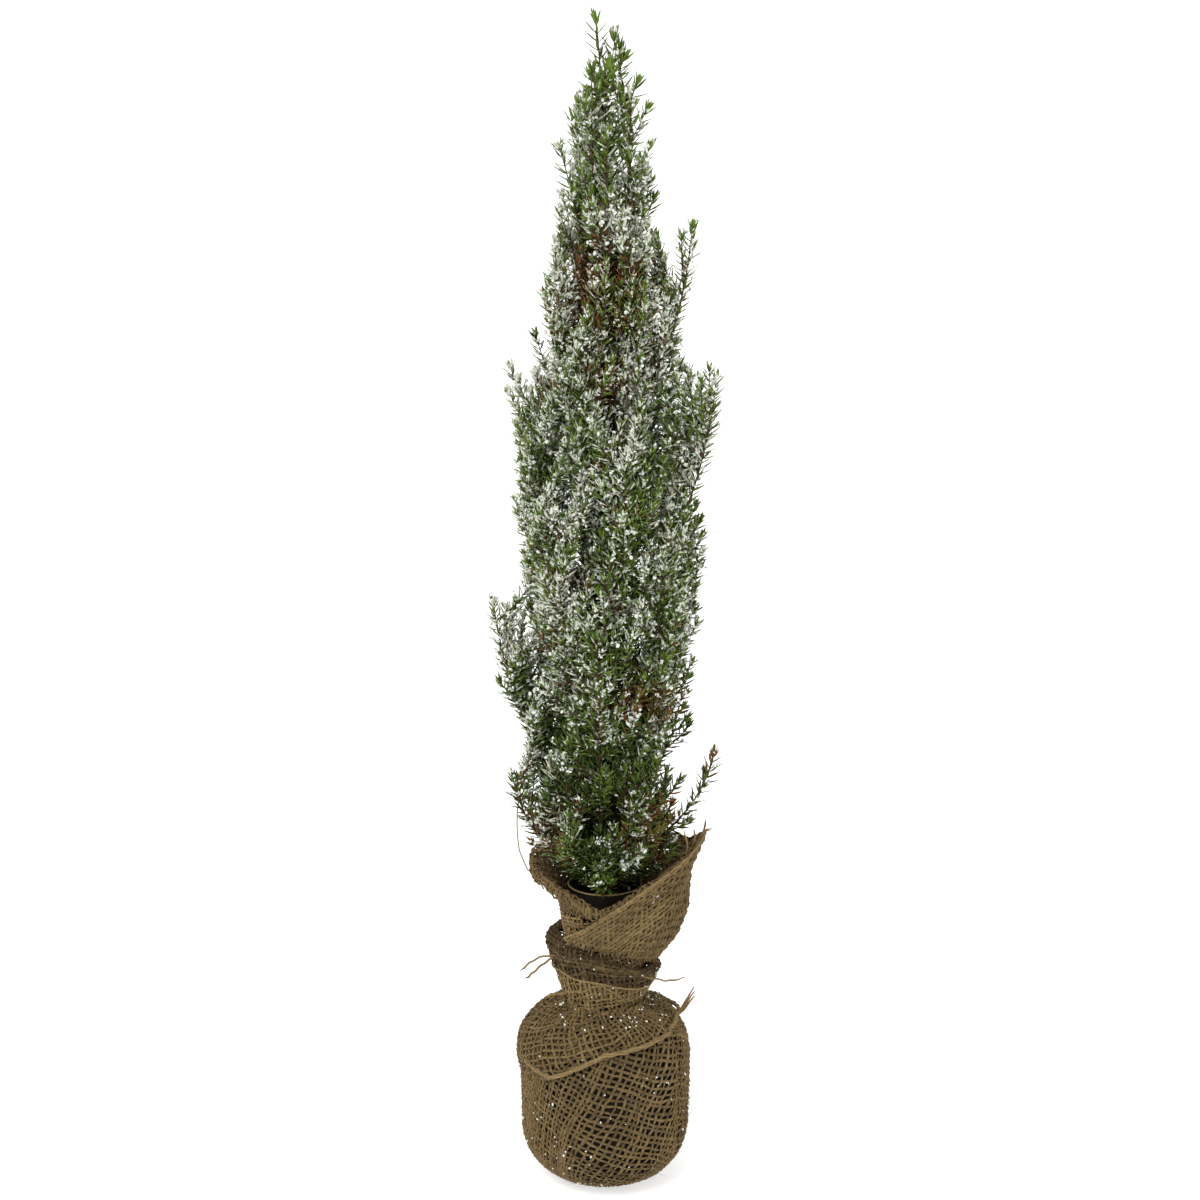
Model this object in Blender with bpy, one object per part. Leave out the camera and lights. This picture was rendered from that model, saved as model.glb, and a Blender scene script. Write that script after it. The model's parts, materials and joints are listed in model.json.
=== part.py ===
"""A slim artificial tabletop tree: bendable juniper sprays on a taped trunk, set in a weighted
pot that is wrapped in burlap. Metres, +Z up, with the origin at the middle of the foot."""

import math
import random

import bmesh
import bpy
from mathutils import Matrix, Vector

TREE_HEIGHT = 0.610

# Root ball: a pot with a domed cover, inside a burlap wrap.
BALL_RADIUS = 0.0450
FOOT_RADIUS = 0.0150
BOTTOM_RADIUS = BALL_RADIUS - FOOT_RADIUS
CROWN_RADIUS = 0.0210
SHOULDER_RADIUS = BALL_RADIUS - CROWN_RADIUS
SHOULDER_START = 0.0710
CLOTH = 0.0012
CLEARANCE = 0.0004
POT_WALL = 0.0015
POT_RIM = 0.0700
CEMENT_TOP = 0.0660
CEMENT_HOLE_FLOOR = 0.0120

# Neck: the cover's sleeve, its foam plug and the cloth round them.
NECK_RADIUS = 0.0210
NECK_FLARE = 0.0030
SLEEVE_RADIUS = 0.0190
SLEEVE_TOP = 0.1620
FOAM_FLOOR = 0.0970
FOAM_TOP = 0.1500
NECK_BOTTOM = 0.0955
COLLAR_BOTTOM = 0.1504
BAND_BOTTOM = 0.1040
BAND_TOP = 0.1260
BAND_SLANT = 0.0085

# Trunk: a steel rod cast into the ballast, with a taped sleeve above the neck.
ROD_RADIUS = 0.0015
ROD_TOP = 0.5160
SLIP = 0.0003
TRUNK_BOTTOM = 0.1504
TRUNK_TOP = 0.5120
TRUNK_RADIUS_LOW = 0.0040
TRUNK_RADIUS_HIGH = 0.0026

# Jute tie round the shoulder.
TIE_RADIUS = 0.0011
TIE_TAIL = 0.0120

# Sprays: each one stays inside a narrow wedge round its own radial plane.
BRANCH_COUNT = 28
FIRST_FOOT = 0.1700
LAST_FOOT = 0.4850
FIRST_AZIMUTH = 127.5
GOLDEN_ANGLE = 137.508
LONGEST_RISE = 0.1280
SHORTEST_RISE = 0.1000
BALL_END = 0.0011
WIRE = 0.0008
FOLIAGE = 0.0031
TWIG_FOLIAGE = 0.0024
WEDGE = math.radians(9.3)
SIDES = 5
SEED = 24

SEGMENTS = 22

MATERIALS = {
    "burlap": ((0.223, 0.155, 0.072), 0.95, 0.0),
    "jute": ((0.262, 0.176, 0.075), 0.90, 0.0),
    "black_plastic": ((0.012, 0.012, 0.012), 0.45, 0.0),
    "cement": ((0.350, 0.340, 0.320), 0.90, 0.0),
    "foam": ((0.055, 0.040, 0.028), 0.95, 0.0),
    "steel": ((0.420, 0.420, 0.430), 0.35, 1.0),
    "trunk_tape": ((0.060, 0.032, 0.016), 0.75, 0.0),
    "foliage": ((0.060, 0.135, 0.042), 0.60, 0.0),
    "rust_foliage": ((0.180, 0.070, 0.028), 0.65, 0.0),
}

# Sprays that stand out of the column's outline: tip radius and tip height above the foot.
OUTLIERS = {
    4: (0.0570, 0.1080),
    12: (0.0450, 0.1340),
    13: (0.0590, 0.1210),
    20: (0.0320, 0.1020),
    21: (0.0430, 0.1000),
    25: (0.0130, 0.1130),
}

# Short sprays round the lowest part of the trunk: azimuth, foot height, tip radius, rise.
SKIRT_SPRIGS = {
    "skirt_sprig_front_left": (232.0, 0.1630, 0.0290, 0.0520),
    "skirt_sprig_front_right": (298.0, 0.1660, 0.0290, 0.0430),
    "skirt_sprig_back": (85.0, 0.1680, 0.0300, 0.0520),
    "skirt_sprig_back_left": (155.0, 0.1720, 0.0330, 0.0500),
    "skirt_sprig_left": (199.5, 0.1690, 0.0500, 0.0560),
    "skirt_sprig_right": (0.0, 0.1760, 0.0560, 0.0560),
}

# Column outline: tip height against tip radius.
OUTLINE = ((0.29, 0.046), (0.36, 0.045), (0.42, 0.041), (0.47, 0.030), (0.545, 0.019), (0.62, 0.010))


def clear_scene():
    for thing in list(bpy.data.objects):
        bpy.data.objects.remove(thing, do_unlink=True)


def material(name):
    """The finish of this name, made on its first use."""
    found = bpy.data.materials.get(name)
    if found:
        return found
    colour, roughness, metallic = MATERIALS[name]
    made = bpy.data.materials.new(name)
    made.use_nodes = True
    shader = made.node_tree.nodes["Principled BSDF"]
    shader.inputs["Base Color"].default_value = (*colour, 1.0)
    shader.inputs["Roughness"].default_value = roughness
    shader.inputs["Metallic"].default_value = metallic
    return made


def add_object(name, shape, finish):
    """Turns a bmesh into a smooth-shaded object in the scene."""
    bmesh.ops.recalc_face_normals(shape, faces=shape.faces)
    mesh = bpy.data.meshes.new(name)
    shape.to_mesh(mesh)
    shape.free()
    mesh.shade_smooth()
    mesh.set_sharp_from_angle(angle=math.radians(40))
    mesh.materials.append(material(finish))
    made = bpy.data.objects.new(name, mesh)
    bpy.context.collection.objects.link(made)
    return made


def interpolate(table, x):
    """Piecewise-linear value of a table of (x, value) pairs, held flat past its ends."""
    if x <= table[0][0]:
        return table[0][1]
    for (x0, y0), (x1, y1) in zip(table, table[1:]):
        if x <= x1:
            return y0 + (y1 - y0) * (x - x0) / (x1 - x0)
    return table[-1][1]


def arc(centre, radius, start, end, steps):
    """Points (r, z) on an arc, its angles in degrees from the outward direction."""
    angles = [math.radians(start + (end - start) * k / steps) for k in range(steps + 1)]
    return [(centre[0] + radius * math.cos(a), centre[1] + radius * math.sin(a)) for a in angles]


def turned(name, profile, finish, segments=SEGMENTS, place=None):
    """A solid turned from a profile of (r, z) points. A profile whose ends are on the axis is
    closed there, and any other profile is a closed ring. place moves each point."""
    shape = bmesh.new()
    rings = []
    for r, z in profile:
        count = segments if r > 0 else 1
        ring = []
        for k in range(count):
            turn = math.tau * k / segments
            point = Vector((r * math.cos(turn), r * math.sin(turn), z))
            ring.append(shape.verts.new(place(point, turn) if place else point))
        rings.append(ring)
    pairs = list(zip(rings, rings[1:]))
    if profile[0][0] > 0:
        pairs.append((rings[-1], rings[0]))
    for low, high in pairs:
        for k in range(segments):
            after = (k + 1) % segments
            corners = [low[k % len(low)], low[after % len(low)], high[after % len(high)], high[k % len(high)]]
            shape.faces.new(list(dict.fromkeys(corners)))
    return add_object(name, shape, finish)


def ball_profile(inset, top_angle):
    """The root ball's outer line, inset from the cloth's outer face, from the axis to the shoulder."""
    bottom = arc((FOOT_RADIUS, BOTTOM_RADIUS), BOTTOM_RADIUS - inset, -90, 0, 6)
    shoulder = arc((CROWN_RADIUS, SHOULDER_START), SHOULDER_RADIUS - inset, 0, top_angle, 5)
    return [(0.0, inset)] + bottom, shoulder


def make_root_wrap():
    outer_low, outer_high = ball_profile(0.0, 88)
    inner_low, inner_high = ball_profile(CLOTH, 88)
    turned("burlap_root_wrap", outer_low + outer_high + (inner_low + inner_high)[::-1], "burlap")


def make_pot():
    outside = CLOTH + CLEARANCE
    inside = outside + POT_WALL
    outer_low, _ = ball_profile(outside, 0)
    inner_low, _ = ball_profile(inside, 0)
    rim = [(BALL_RADIUS - outside, POT_RIM), (BALL_RADIUS - inside, POT_RIM)]
    turned("base_pot", outer_low + rim + inner_low[::-1], "black_plastic")


def make_ballast():
    inset = CLOTH + CLEARANCE + POT_WALL + SLIP
    low, _ = ball_profile(inset, 0)
    hole = ROD_RADIUS + SLIP
    top = [(BALL_RADIUS - inset, CEMENT_TOP), (hole, CEMENT_TOP)]
    top += [(hole, CEMENT_HOLE_FLOOR), (0.0, CEMENT_HOLE_FLOOR)]
    turned("cement_ballast", low + top, "cement")


def make_cover():
    """The domed cover, whose sleeve stands up inside the neck."""
    outside = CLOTH + CLEARANCE
    _, outer = ball_profile(outside, 86)
    _, inner = ball_profile(outside + POT_WALL, 88)
    sleeve = SLEEVE_RADIUS - POT_WALL
    crown = outer[-1][1] + SLIP
    profile = outer + [(SLEEVE_RADIUS, crown), (SLEEVE_RADIUS, SLEEVE_TOP), (sleeve, SLEEVE_TOP)]
    turned("pot_cover", profile + [(sleeve, inner[-1][1])] + inner[::-1], "black_plastic")


def make_foam():
    outer = SLEEVE_RADIUS - POT_WALL - SLIP
    inner = ROD_RADIUS + SLIP
    profile = [(outer, FOAM_FLOOR), (outer, FOAM_TOP), (inner, FOAM_TOP), (inner, FOAM_FLOOR)]
    turned("foam_plug", profile, "foam")


def make_neck_wrap():
    outer = [(NECK_RADIUS, NECK_BOTTOM), (NECK_RADIUS, NECK_BOTTOM + 0.6 * (FOAM_TOP - NECK_BOTTOM)),
             (NECK_RADIUS + 0.4 * NECK_FLARE, FOAM_TOP - 0.008), (NECK_RADIUS + NECK_FLARE, FOAM_TOP)]
    inner = [(r - CLOTH, z) for r, z in outer]
    turned("burlap_neck_wrap", outer + inner[::-1], "burlap")


def make_band():
    """The loose turn of cloth round the neck, which hangs out over its own narrow lower edge."""
    inside = NECK_RADIUS + 0.0006
    outer = ((0.0, 0.0012), (0.25, 0.0028), (0.60, 0.0056), (0.88, 0.0076), (1.0, 0.0056))
    profile = [(inside + out, t) for t, out in outer] + [(inside, 1.0), (inside, 0.0)]

    def hang(point, turn):
        top = BAND_TOP - BAND_SLANT * math.cos(turn)
        height = BAND_BOTTOM + (top - BAND_BOTTOM) * point.z
        fuller_left = 1.0 - 0.13 * math.cos(turn) * point.z
        flat = Vector((point.x, point.y, 0))
        if flat.length > inside * 1.02:
            flat = flat.normalized() * (inside + (flat.length - inside) * fuller_left)
        return Vector((flat.x, flat.y, height))

    turned("burlap_neck_band", profile, "burlap", place=hang)


def collar_rim(turn):
    """Radius and height of the collar's rim, which dips and closes in at the front."""
    radius = 0.0366 + 0.0003 * math.cos(turn) + 0.0055 * math.sin(turn) + 0.0048 * math.cos(2 * turn)
    height = 0.1732 + 0.0015 * math.cos(turn) + 0.0090 * math.sin(turn) + 0.0067 * math.cos(2 * turn)
    sag = math.exp(-((math.degrees(turn) % 360 - 190) / 50) ** 2)
    return radius - 0.0040 * sag, height - 0.0065 * sag


def make_collar():
    """The cup of cloth at the top of the neck, with its lip rolled outward."""
    steps = (0.0, 0.35, 0.7, 1.0)
    profile = [(1.0, t) for t in steps] + [(2.0, t) for t in reversed(steps)]

    def flare(point, turn):
        side = 1 if math.hypot(point.x, point.y) < 1.5 else 0
        rim_radius, rim_height = collar_rim(turn)
        foot = NECK_RADIUS + NECK_FLARE - CLOTH
        radius = foot + (rim_radius - foot) * point.z**1.9 + CLOTH * side
        height = COLLAR_BOTTOM + (rim_height - COLLAR_BOTTOM) * point.z
        return Vector((radius * math.cos(turn), radius * math.sin(turn), height))

    turned("burlap_collar", profile, "burlap", segments=26, place=flare)


# The flap's outline against its azimuth in degrees: foot height, top height and top radius.
FLAP_FOOT = ((225, 0.1355), (262, 0.1345), (300, 0.1295), (360, 0.1190), (400, 0.1205))
FLAP_TOP = ((225, 0.1400), (250, 0.1470), (262, 0.1520), (300, 0.1700), (335, 0.1850), (355, 0.1925),
            (372, 0.1850), (400, 0.1740))
FLAP_REACH = ((225, 0.0300), (250, 0.0300), (262, 0.0310), (300, 0.0400), (335, 0.0480), (355, 0.0520),
              (372, 0.0490), (400, 0.0450))
FLAP_FULLNESS = ((0.0, 0.0), (0.1, 0.20), (0.23, 0.46), (0.44, 0.66), (0.74, 0.76), (1.0, 1.0))


def make_flap():
    """The loose end of the cloth: a full curved panel that rises across the front to a point at the right."""
    start, end, columns = FLAP_TOP[0][0], FLAP_TOP[-1][0], 15
    last = len(FLAP_FULLNESS) - 1
    shape = bmesh.new()
    sheets = []
    for depth in (0.0, CLOTH):
        sheet = []
        for c in range(columns + 1):
            degrees = start + (end - start) * c / columns
            turn = math.radians(degrees)
            foot, bottom = NECK_RADIUS + 0.0038, interpolate(FLAP_FOOT, degrees) + SLIP
            column = []
            for t, share in FLAP_FULLNESS:
                radius = foot + (interpolate(FLAP_REACH, degrees) - foot) * share - depth
                height = bottom + (interpolate(FLAP_TOP, degrees) - bottom) * t
                column.append(shape.verts.new((radius * math.cos(turn), radius * math.sin(turn), height)))
            sheet.append(column)
        sheets.append(sheet)
    outer, inner = sheets
    for sheet in sheets:
        for c in range(columns):
            for t in range(last):
                shape.faces.new((sheet[c][t], sheet[c + 1][t], sheet[c + 1][t + 1], sheet[c][t + 1]))
    for c in range(columns):
        for t in (0, last):
            shape.faces.new((outer[c][t], outer[c + 1][t], inner[c + 1][t], inner[c][t]))
    for c in (0, columns):
        for t in range(last):
            shape.faces.new((outer[c][t], outer[c][t + 1], inner[c][t + 1], inner[c][t]))
    add_object("burlap_flap", shape, "burlap")


def ball_surface(height):
    """The root wrap's outer radius at this height, and its outward slope as (radial, vertical)."""
    above = max(0.0, height - SHOULDER_START)
    level = math.sqrt(SHOULDER_RADIUS**2 - above**2)
    return CROWN_RADIUS + level, (level / SHOULDER_RADIUS, above / SHOULDER_RADIUS)


def make_tie():
    """One turn of jute round the shoulder, with its frayed end standing out at the right."""
    heights = ((8, 0.0880), (90, 0.0810), (150, 0.0740), (207, 0.0710), (232, 0.0690), (270, 0.0830),
               (320, 0.0870), (352, 0.0890))
    lift = TIE_RADIUS + 0.0006
    points = []
    for k in range(36):
        degrees = 8 + (352 - 8) * k / 35
        height = interpolate(heights, degrees)
        radius, slope = ball_surface(height)
        turn = math.radians(degrees)
        out = radius + lift * slope[0]
        points.append(Vector((out * math.cos(turn), out * math.sin(turn), height + lift * slope[1])))
    points.append(points[-1] + Vector((0.35, 0.05, 0.45)) * TIE_TAIL)
    points.append(points[-1] + Vector((0.35, 0.05, 0.75)) * TIE_TAIL)
    curve = bpy.data.curves.new("jute_tie", "CURVE")
    curve.dimensions = "3D"
    spline = curve.splines.new("POLY")
    spline.points.add(len(points) - 1)
    for spot, point in zip(spline.points, points):
        spot.co = (*point, 1.0)
    curve.bevel_depth = TIE_RADIUS
    curve.bevel_resolution = 1
    curve.use_fill_caps = True
    curve.materials.append(material("jute"))
    bpy.context.collection.objects.link(bpy.data.objects.new("jute_tie", curve))


def trunk_radius(height):
    share = (height - TRUNK_BOTTOM) / (TRUNK_TOP - TRUNK_BOTTOM)
    return TRUNK_RADIUS_LOW + (TRUNK_RADIUS_HIGH - TRUNK_RADIUS_LOW) * share


def make_trunk():
    turned("trunk_rod", [(0.0, CEMENT_HOLE_FLOOR + SLIP), (ROD_RADIUS, CEMENT_HOLE_FLOOR + SLIP),
                         (ROD_RADIUS, ROD_TOP), (0.0, ROD_TOP)], "steel", segments=10)
    inside = ROD_RADIUS + SLIP
    profile = [(TRUNK_RADIUS_LOW, TRUNK_BOTTOM), (TRUNK_RADIUS_HIGH, TRUNK_TOP)]
    profile += [(inside, TRUNK_TOP), (inside, TRUNK_BOTTOM)]
    turned("trunk_tape_wrap", profile, "trunk_tape", segments=10)


def bezier(points, t):
    a, b, c, d = points
    s = 1 - t
    return a * s**3 + b * 3 * s * s * t + c * 3 * s * t * t + d * t**3


def spindle(shape, rail, radii):
    """Adds a closed five-sided tapering body along a rail of points, ending in a point."""
    rings = []
    for k, (centre, radius) in enumerate(zip(rail[:-1], radii)):
        ahead = (rail[k + 1] - rail[max(0, k - 1)]).normalized()
        side = (Vector((0, 1, 0)) - ahead * ahead.y).normalized()
        across = ahead.cross(side)
        ring = []
        for s in range(SIDES):
            turn = math.tau * s / SIDES
            ring.append(shape.verts.new(centre + (side * math.cos(turn) + across * math.sin(turn)) * radius))
        rings.append(ring)
    shape.faces.new(rings[0])
    tip = shape.verts.new(rail[-1])
    for low, high in zip(rings, rings[1:]):
        for s in range(SIDES):
            after = (s + 1) % SIDES
            shape.faces.new((low[s], low[after], high[after], high[s]))
    for s in range(SIDES):
        shape.faces.new((rings[-1][s], rings[-1][(s + 1) % SIDES], tip))


def in_wedge(point, hinge_radius, radius):
    """The radius, cut back so that a round body at this point stays inside the spray's wedge."""
    room = (hinge_radius + point.x) * math.tan(WEDGE) - abs(point.y)
    return max(0.0004, min(radius, room * math.cos(WEDGE)))


def main_stem(hinge_radius, reach, rise):
    """The spray's main stem from its hinge, in its radial plane: out of the tape, then upward."""
    out = reach - hinge_radius
    return (Vector((0, 0, 0)), Vector((0.30 * out + 0.004, 0, 0.10 * rise)),
            Vector((0.88 * out, 0, 0.45 * rise)), Vector((out, 0, rise)))


def side_twigs(stem, hinge_radius, rise, draw):
    """Rails of the side twigs, which leave the stem alternately outward and inward."""
    count = 4 if rise > 0.08 else 2
    twigs = []
    for k in range(count):
        t = 0.34 + 0.46 * k / (count - 1) + draw.uniform(-0.03, 0.03)
        root = bezier(stem, t)
        ahead = (bezier(stem, t + 0.05) - root).normalized()
        lean = math.radians(draw.uniform(14, 20)) * (1 if k % 2 == 0 else -0.8)
        heading = Matrix.Rotation(lean, 3, "Y") @ ahead
        length = draw.uniform(0.26, 0.32) * rise * (1 if k % 2 == 0 else 0.85)
        twist = draw.choice((-1, 1)) * draw.uniform(0.3, 0.8)
        rail = []
        for share in (0.0, 0.35, 0.75, 1.0):
            point = root + heading * length * share
            bend = Vector((0, 0, 1)) * length * 0.10 * share * share
            point = point + bend
            room = (hinge_radius + point.x) * math.tan(WEDGE) - TWIG_FOLIAGE - 0.0004
            point.y = max(0.0, room) * twist * share
            rail.append(point)
        twigs.append(rail)
    return twigs


def make_spray(name, azimuth, foot, reach, rise, finish="foliage"):
    """A bendable spray: a ball-ended wire foot, and foliage round its stem and side twigs."""
    draw = random.Random(f"{SEED} {name}")
    hinge_radius = trunk_radius(foot) + SLIP + BALL_END
    stem = main_stem(hinge_radius, reach, rise)
    ball = [Vector((-0.7 * BALL_END, 0, -0.4 * BALL_END)), Vector((0, 0, 0)), Vector((0.0012, 0, 0.0009))]
    stations = (0.12, 0.30, 0.55, 0.80, 1.0)
    rail = ball + [bezier(stem, t) for t in stations]
    wanted = (0.6 * BALL_END, BALL_END, WIRE, 0.0016, FOLIAGE, FOLIAGE, 0.75 * FOLIAGE)
    radii = list(wanted[:4])
    radii += [in_wedge(point, hinge_radius, radius) for point, radius in zip(rail[4:7], wanted[4:])]
    shape = bmesh.new()
    spindle(shape, rail, radii)
    spray = add_object(name, shape, finish)
    twigs = bmesh.new()
    for twig in side_twigs(stem, hinge_radius, rise, draw):
        radii = [in_wedge(point, hinge_radius, radius)
                 for point, radius in zip(twig, (0.0012, TWIG_FOLIAGE, 0.8 * TWIG_FOLIAGE))]
        spindle(twigs, twig, radii)
    unite(spray, add_object(name + "_twigs", twigs, finish))
    turn = math.radians(azimuth)
    spray.location = (hinge_radius * math.cos(turn), hinge_radius * math.sin(turn), foot)
    spray.rotation_euler = (0, 0, turn)


def unite(target, other):
    """Joins another object's bodies to the target, and removes the other object."""
    union = target.modifiers.new("union", "BOOLEAN")
    union.operation = "UNION"
    union.object = other
    union.use_self = True
    bpy.context.view_layer.objects.active = target
    bpy.ops.object.modifier_apply(modifier=union.name)
    bpy.data.objects.remove(other, do_unlink=True)


def make_branches():
    step = (LAST_FOOT - FIRST_FOOT) / (BRANCH_COUNT - 1)
    for k in range(BRANCH_COUNT):
        number = k + 1
        draw = random.Random(f"{SEED} size {number}")
        foot = FIRST_FOOT + step * k
        fade = max(0.0, (foot - 0.40) / (LAST_FOOT - 0.40))
        rise = LONGEST_RISE + (SHORTEST_RISE - LONGEST_RISE) * fade
        rise *= draw.uniform(0.93, 1.03)
        reach = interpolate(OUTLINE, foot + rise) * draw.uniform(0.88, 1.0)
        reach, rise = OUTLIERS.get(number, (reach, rise))
        make_spray(f"branch_{number:02d}", FIRST_AZIMUTH + GOLDEN_ANGLE * k, foot, reach, rise)


def make_skirt():
    for name, (azimuth, foot, reach, rise) in SKIRT_SPRIGS.items():
        finish = "rust_foliage" if name == "skirt_sprig_right" else "foliage"
        make_spray(name, azimuth, foot, reach, rise, finish)


def make_leader():
    """The upright spray that is taped on top of the rod, and leans a little to the left."""
    bottom = ROD_TOP + SLIP
    rise = TREE_HEIGHT - bottom
    heights = (0.0, 0.06, 0.22, 0.50, 0.80, 1.0)
    rail = [Vector((-0.007 * t * t, 0, bottom + rise * t)) for t in heights]
    shape = bmesh.new()
    spindle(shape, rail, (0.0010, 0.0016, 0.0026, 0.0026, 0.0018))
    leader = add_object("leader_spray", shape, "foliage")
    twigs = bmesh.new()
    for azimuth, start, length in ((33, 0.10, 0.030), (145, 0.26, 0.028), (282, 0.38, 0.030)):
        turn = math.radians(azimuth)
        root = Vector((-0.007 * start * start, 0, bottom + rise * start))
        out = Vector((math.cos(turn), math.sin(turn), 0))
        run = (out * 0.34 + Vector((0, 0, 1))) * length
        twig = [root + run * share for share in (0.0, 0.4, 0.75, 1.0)]
        spindle(twigs, twig, (0.0010, 0.0017, 0.0014))
    unite(leader, add_object("leader_twigs", twigs, "foliage"))


def main():
    clear_scene()
    make_pot()
    make_ballast()
    make_cover()
    make_foam()
    make_root_wrap()
    make_neck_wrap()
    make_band()
    make_collar()
    make_flap()
    make_tie()
    make_trunk()
    make_branches()
    make_skirt()
    make_leader()


main()
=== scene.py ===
"""Looks of a slim artificial tabletop tree: needled sprays dusted with white flock, on a taped
trunk, in a weighted pot wrapped in open burlap. Metres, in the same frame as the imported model."""

import json
import math
import random

import bpy
import numpy as np
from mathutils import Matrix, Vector, noise


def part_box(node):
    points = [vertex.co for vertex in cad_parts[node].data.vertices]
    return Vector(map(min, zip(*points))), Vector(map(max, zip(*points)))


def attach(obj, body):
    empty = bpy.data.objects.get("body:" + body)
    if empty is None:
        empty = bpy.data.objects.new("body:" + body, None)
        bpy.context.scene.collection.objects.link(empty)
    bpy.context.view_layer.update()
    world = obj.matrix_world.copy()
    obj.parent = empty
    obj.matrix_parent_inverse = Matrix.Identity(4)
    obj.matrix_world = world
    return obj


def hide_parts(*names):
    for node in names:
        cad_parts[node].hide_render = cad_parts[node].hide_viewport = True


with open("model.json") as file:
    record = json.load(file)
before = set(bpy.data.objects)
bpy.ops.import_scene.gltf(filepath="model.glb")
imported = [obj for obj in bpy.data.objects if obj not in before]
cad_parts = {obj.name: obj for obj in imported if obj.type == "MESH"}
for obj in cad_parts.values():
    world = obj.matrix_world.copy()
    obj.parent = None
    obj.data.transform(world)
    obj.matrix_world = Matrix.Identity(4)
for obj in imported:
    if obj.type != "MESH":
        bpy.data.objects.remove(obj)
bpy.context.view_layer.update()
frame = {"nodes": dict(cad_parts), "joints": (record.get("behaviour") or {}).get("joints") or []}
bpy.ops.object.select_all(action="DESELECT")

MM = 0.001

# Sprays: these repeat the CAD model's design.
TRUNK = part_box("trunk_tape_wrap")
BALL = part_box("burlap_root_wrap")
TRUNK_RADIUS_LOW = 0.004
TRUNK_RADIUS_HIGH = 0.0026
LEADER_LEAN = -0.0045
WEDGE = math.radians(9.3)
TWIG_FOLIAGE = 0.0024
SEED = 24

# Needles and twigs.
WHORL_STEP = 2.9 * MM
NEEDLES_A_WHORL = 3
# A needle's rings: height, and how much wider, thicker and further back each is than on a plain cone.
NEEDLE_RINGS = ((0.0, 0.8, 0.5, 0.0), (0.34, 2.9, 1.1, -0.03), (0.7, 4.6, 1.3, -0.02))
NEEDLE_LENGTH = 8.0 * MM
STEM_RADIUS = 0.85 * MM
TWIG_RADIUS = 0.5 * MM
STEM_SIDES = 5
FILL_TARGETS = 1850
LEADER_TIP = 0.603
# Side twigs of the leader: azimuth, start along it, length and lean.
LEADER_TWIGS = (
    (33, 0.1, 0.03, 0.36), (145, 0.26, 0.028, 0.36), (282, 0.38, 0.03, 0.36), (190, 0.52, 0.016, 0.36),
    (350, 0.58, 0.02, 0.36), (75, 0.05, 0.034, 0.36), (225, 0.08, 0.036, 0.36), (310, 0.16, 0.034, 0.36),
    (5, 0.5, 0.026, 0.4), (350, 0.22, 0.038, 0.42), (12, 0.05, 0.04, 0.52))
TRUNK_SPRIGS = 240
LOW_SPRIGS = 110
TRUNK_SPRIGS_LOW = 0.156
TRUNK_SPRIGS_HIGH = 0.5
GOLDEN_ANGLE = math.radians(137.508)

# Column outline: twig tip radius against height.
COLUMN = ((0.165, 0.028), (0.188, 0.037), (0.22, 0.042), (0.27, 0.0445), (0.36, 0.0445), (0.42, 0.041),
          (0.47, 0.031), (0.5, 0.027), (0.545, 0.021), (0.575, 0.013), (0.6, 0.004))
# Swells of that outline: azimuth in degrees, height, and how far out.
COLUMN_SWELLS = (
    (0, 0.412, 0.01), (180, 0.418, 0.005), (180, 0.47, -0.01), (0, 0.485, 0.008), (185, 0.29, 0.007),
    (0, 0.3, 0.0055), (0, 0.345, 0.005), (0, 0.235, 0.006), (0, 0.565, 0.008), (180, 0.447, -0.012))
# Tips of twigs that stand out from the outline.
PLUME_TIPS = (
    (-0.047, -0.004, 0.434), (-0.0425, -0.008, 0.428), (-0.048, 0.003, 0.421),
    (0.052, -0.004, 0.433), (0.048, -0.008, 0.424), (0.0535, 0.002, 0.418))
# How much of a twig is left, for those that are shorter than in the CAD model.
TRIMMED_TWIGS = {("branch_13", 0): 0.0, ("branch_13", 2): 0.0, ("branch_21", 0): 0.0, ("branch_21", 2): 0.0,
                 ("branch_04", 0): 0.45, ("branch_04", 2): 0.52, ("skirt_sprig_right", 1): 0.5}

# The wrapped pot: its radius and top, the arc of its shoulder, and its flat foot.
BALL_RADIUS = 0.5 * (BALL[1].x - BALL[0].x)
BALL_TOP = BALL[1].z
CORNER = 24.0 * MM
SHOULDER_RADIUS = BALL_RADIUS - CORNER
SHOULDER_HEIGHT = BALL_TOP - CORNER * math.sin(math.radians(88))
FOOT = 15.0 * MM

# Threads: half width, half thickness, how far they weave in and out, and the gap between two plies.
THREAD_WIDTH = 0.8 * MM
THREAD_THICKNESS = 0.5 * MM
CRIMP = 0.42 * MM
PLY_GAP = 1.3 * MM

GREEN_DARK = (0.006, 0.016, 0.002)
GREEN_LIGHT = (0.145, 0.245, 0.03)
RUST = (0.17, 0.06, 0.018)
FROST = (0.615, 0.64, 0.52)
BARK = (0.03, 0.016, 0.009)
TAPE_DARK = (0.022, 0.012, 0.006)
JUTE_DARK = (0.05, 0.031, 0.011)
JUTE_LIGHT = (0.25, 0.172, 0.07)
BLACK = ((0.008, 0.006, 0.004), (0.018, 0.014, 0.01))

# Cloth shapes: these repeat the CAD model's design.
NECK_RADIUS = 21.0 * MM
NECK_FLARE = 3.0 * MM
NECK_BOTTOM = 95.5 * MM
COLLAR_BOTTOM = 150.4 * MM
BAND_BOTTOM = 104.0 * MM
BAND_TOP = 126.0 * MM
BAND_SLANT = 8.5 * MM
BAND_HEM = 0.27    # share of the band's run that lies under its hem
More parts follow.
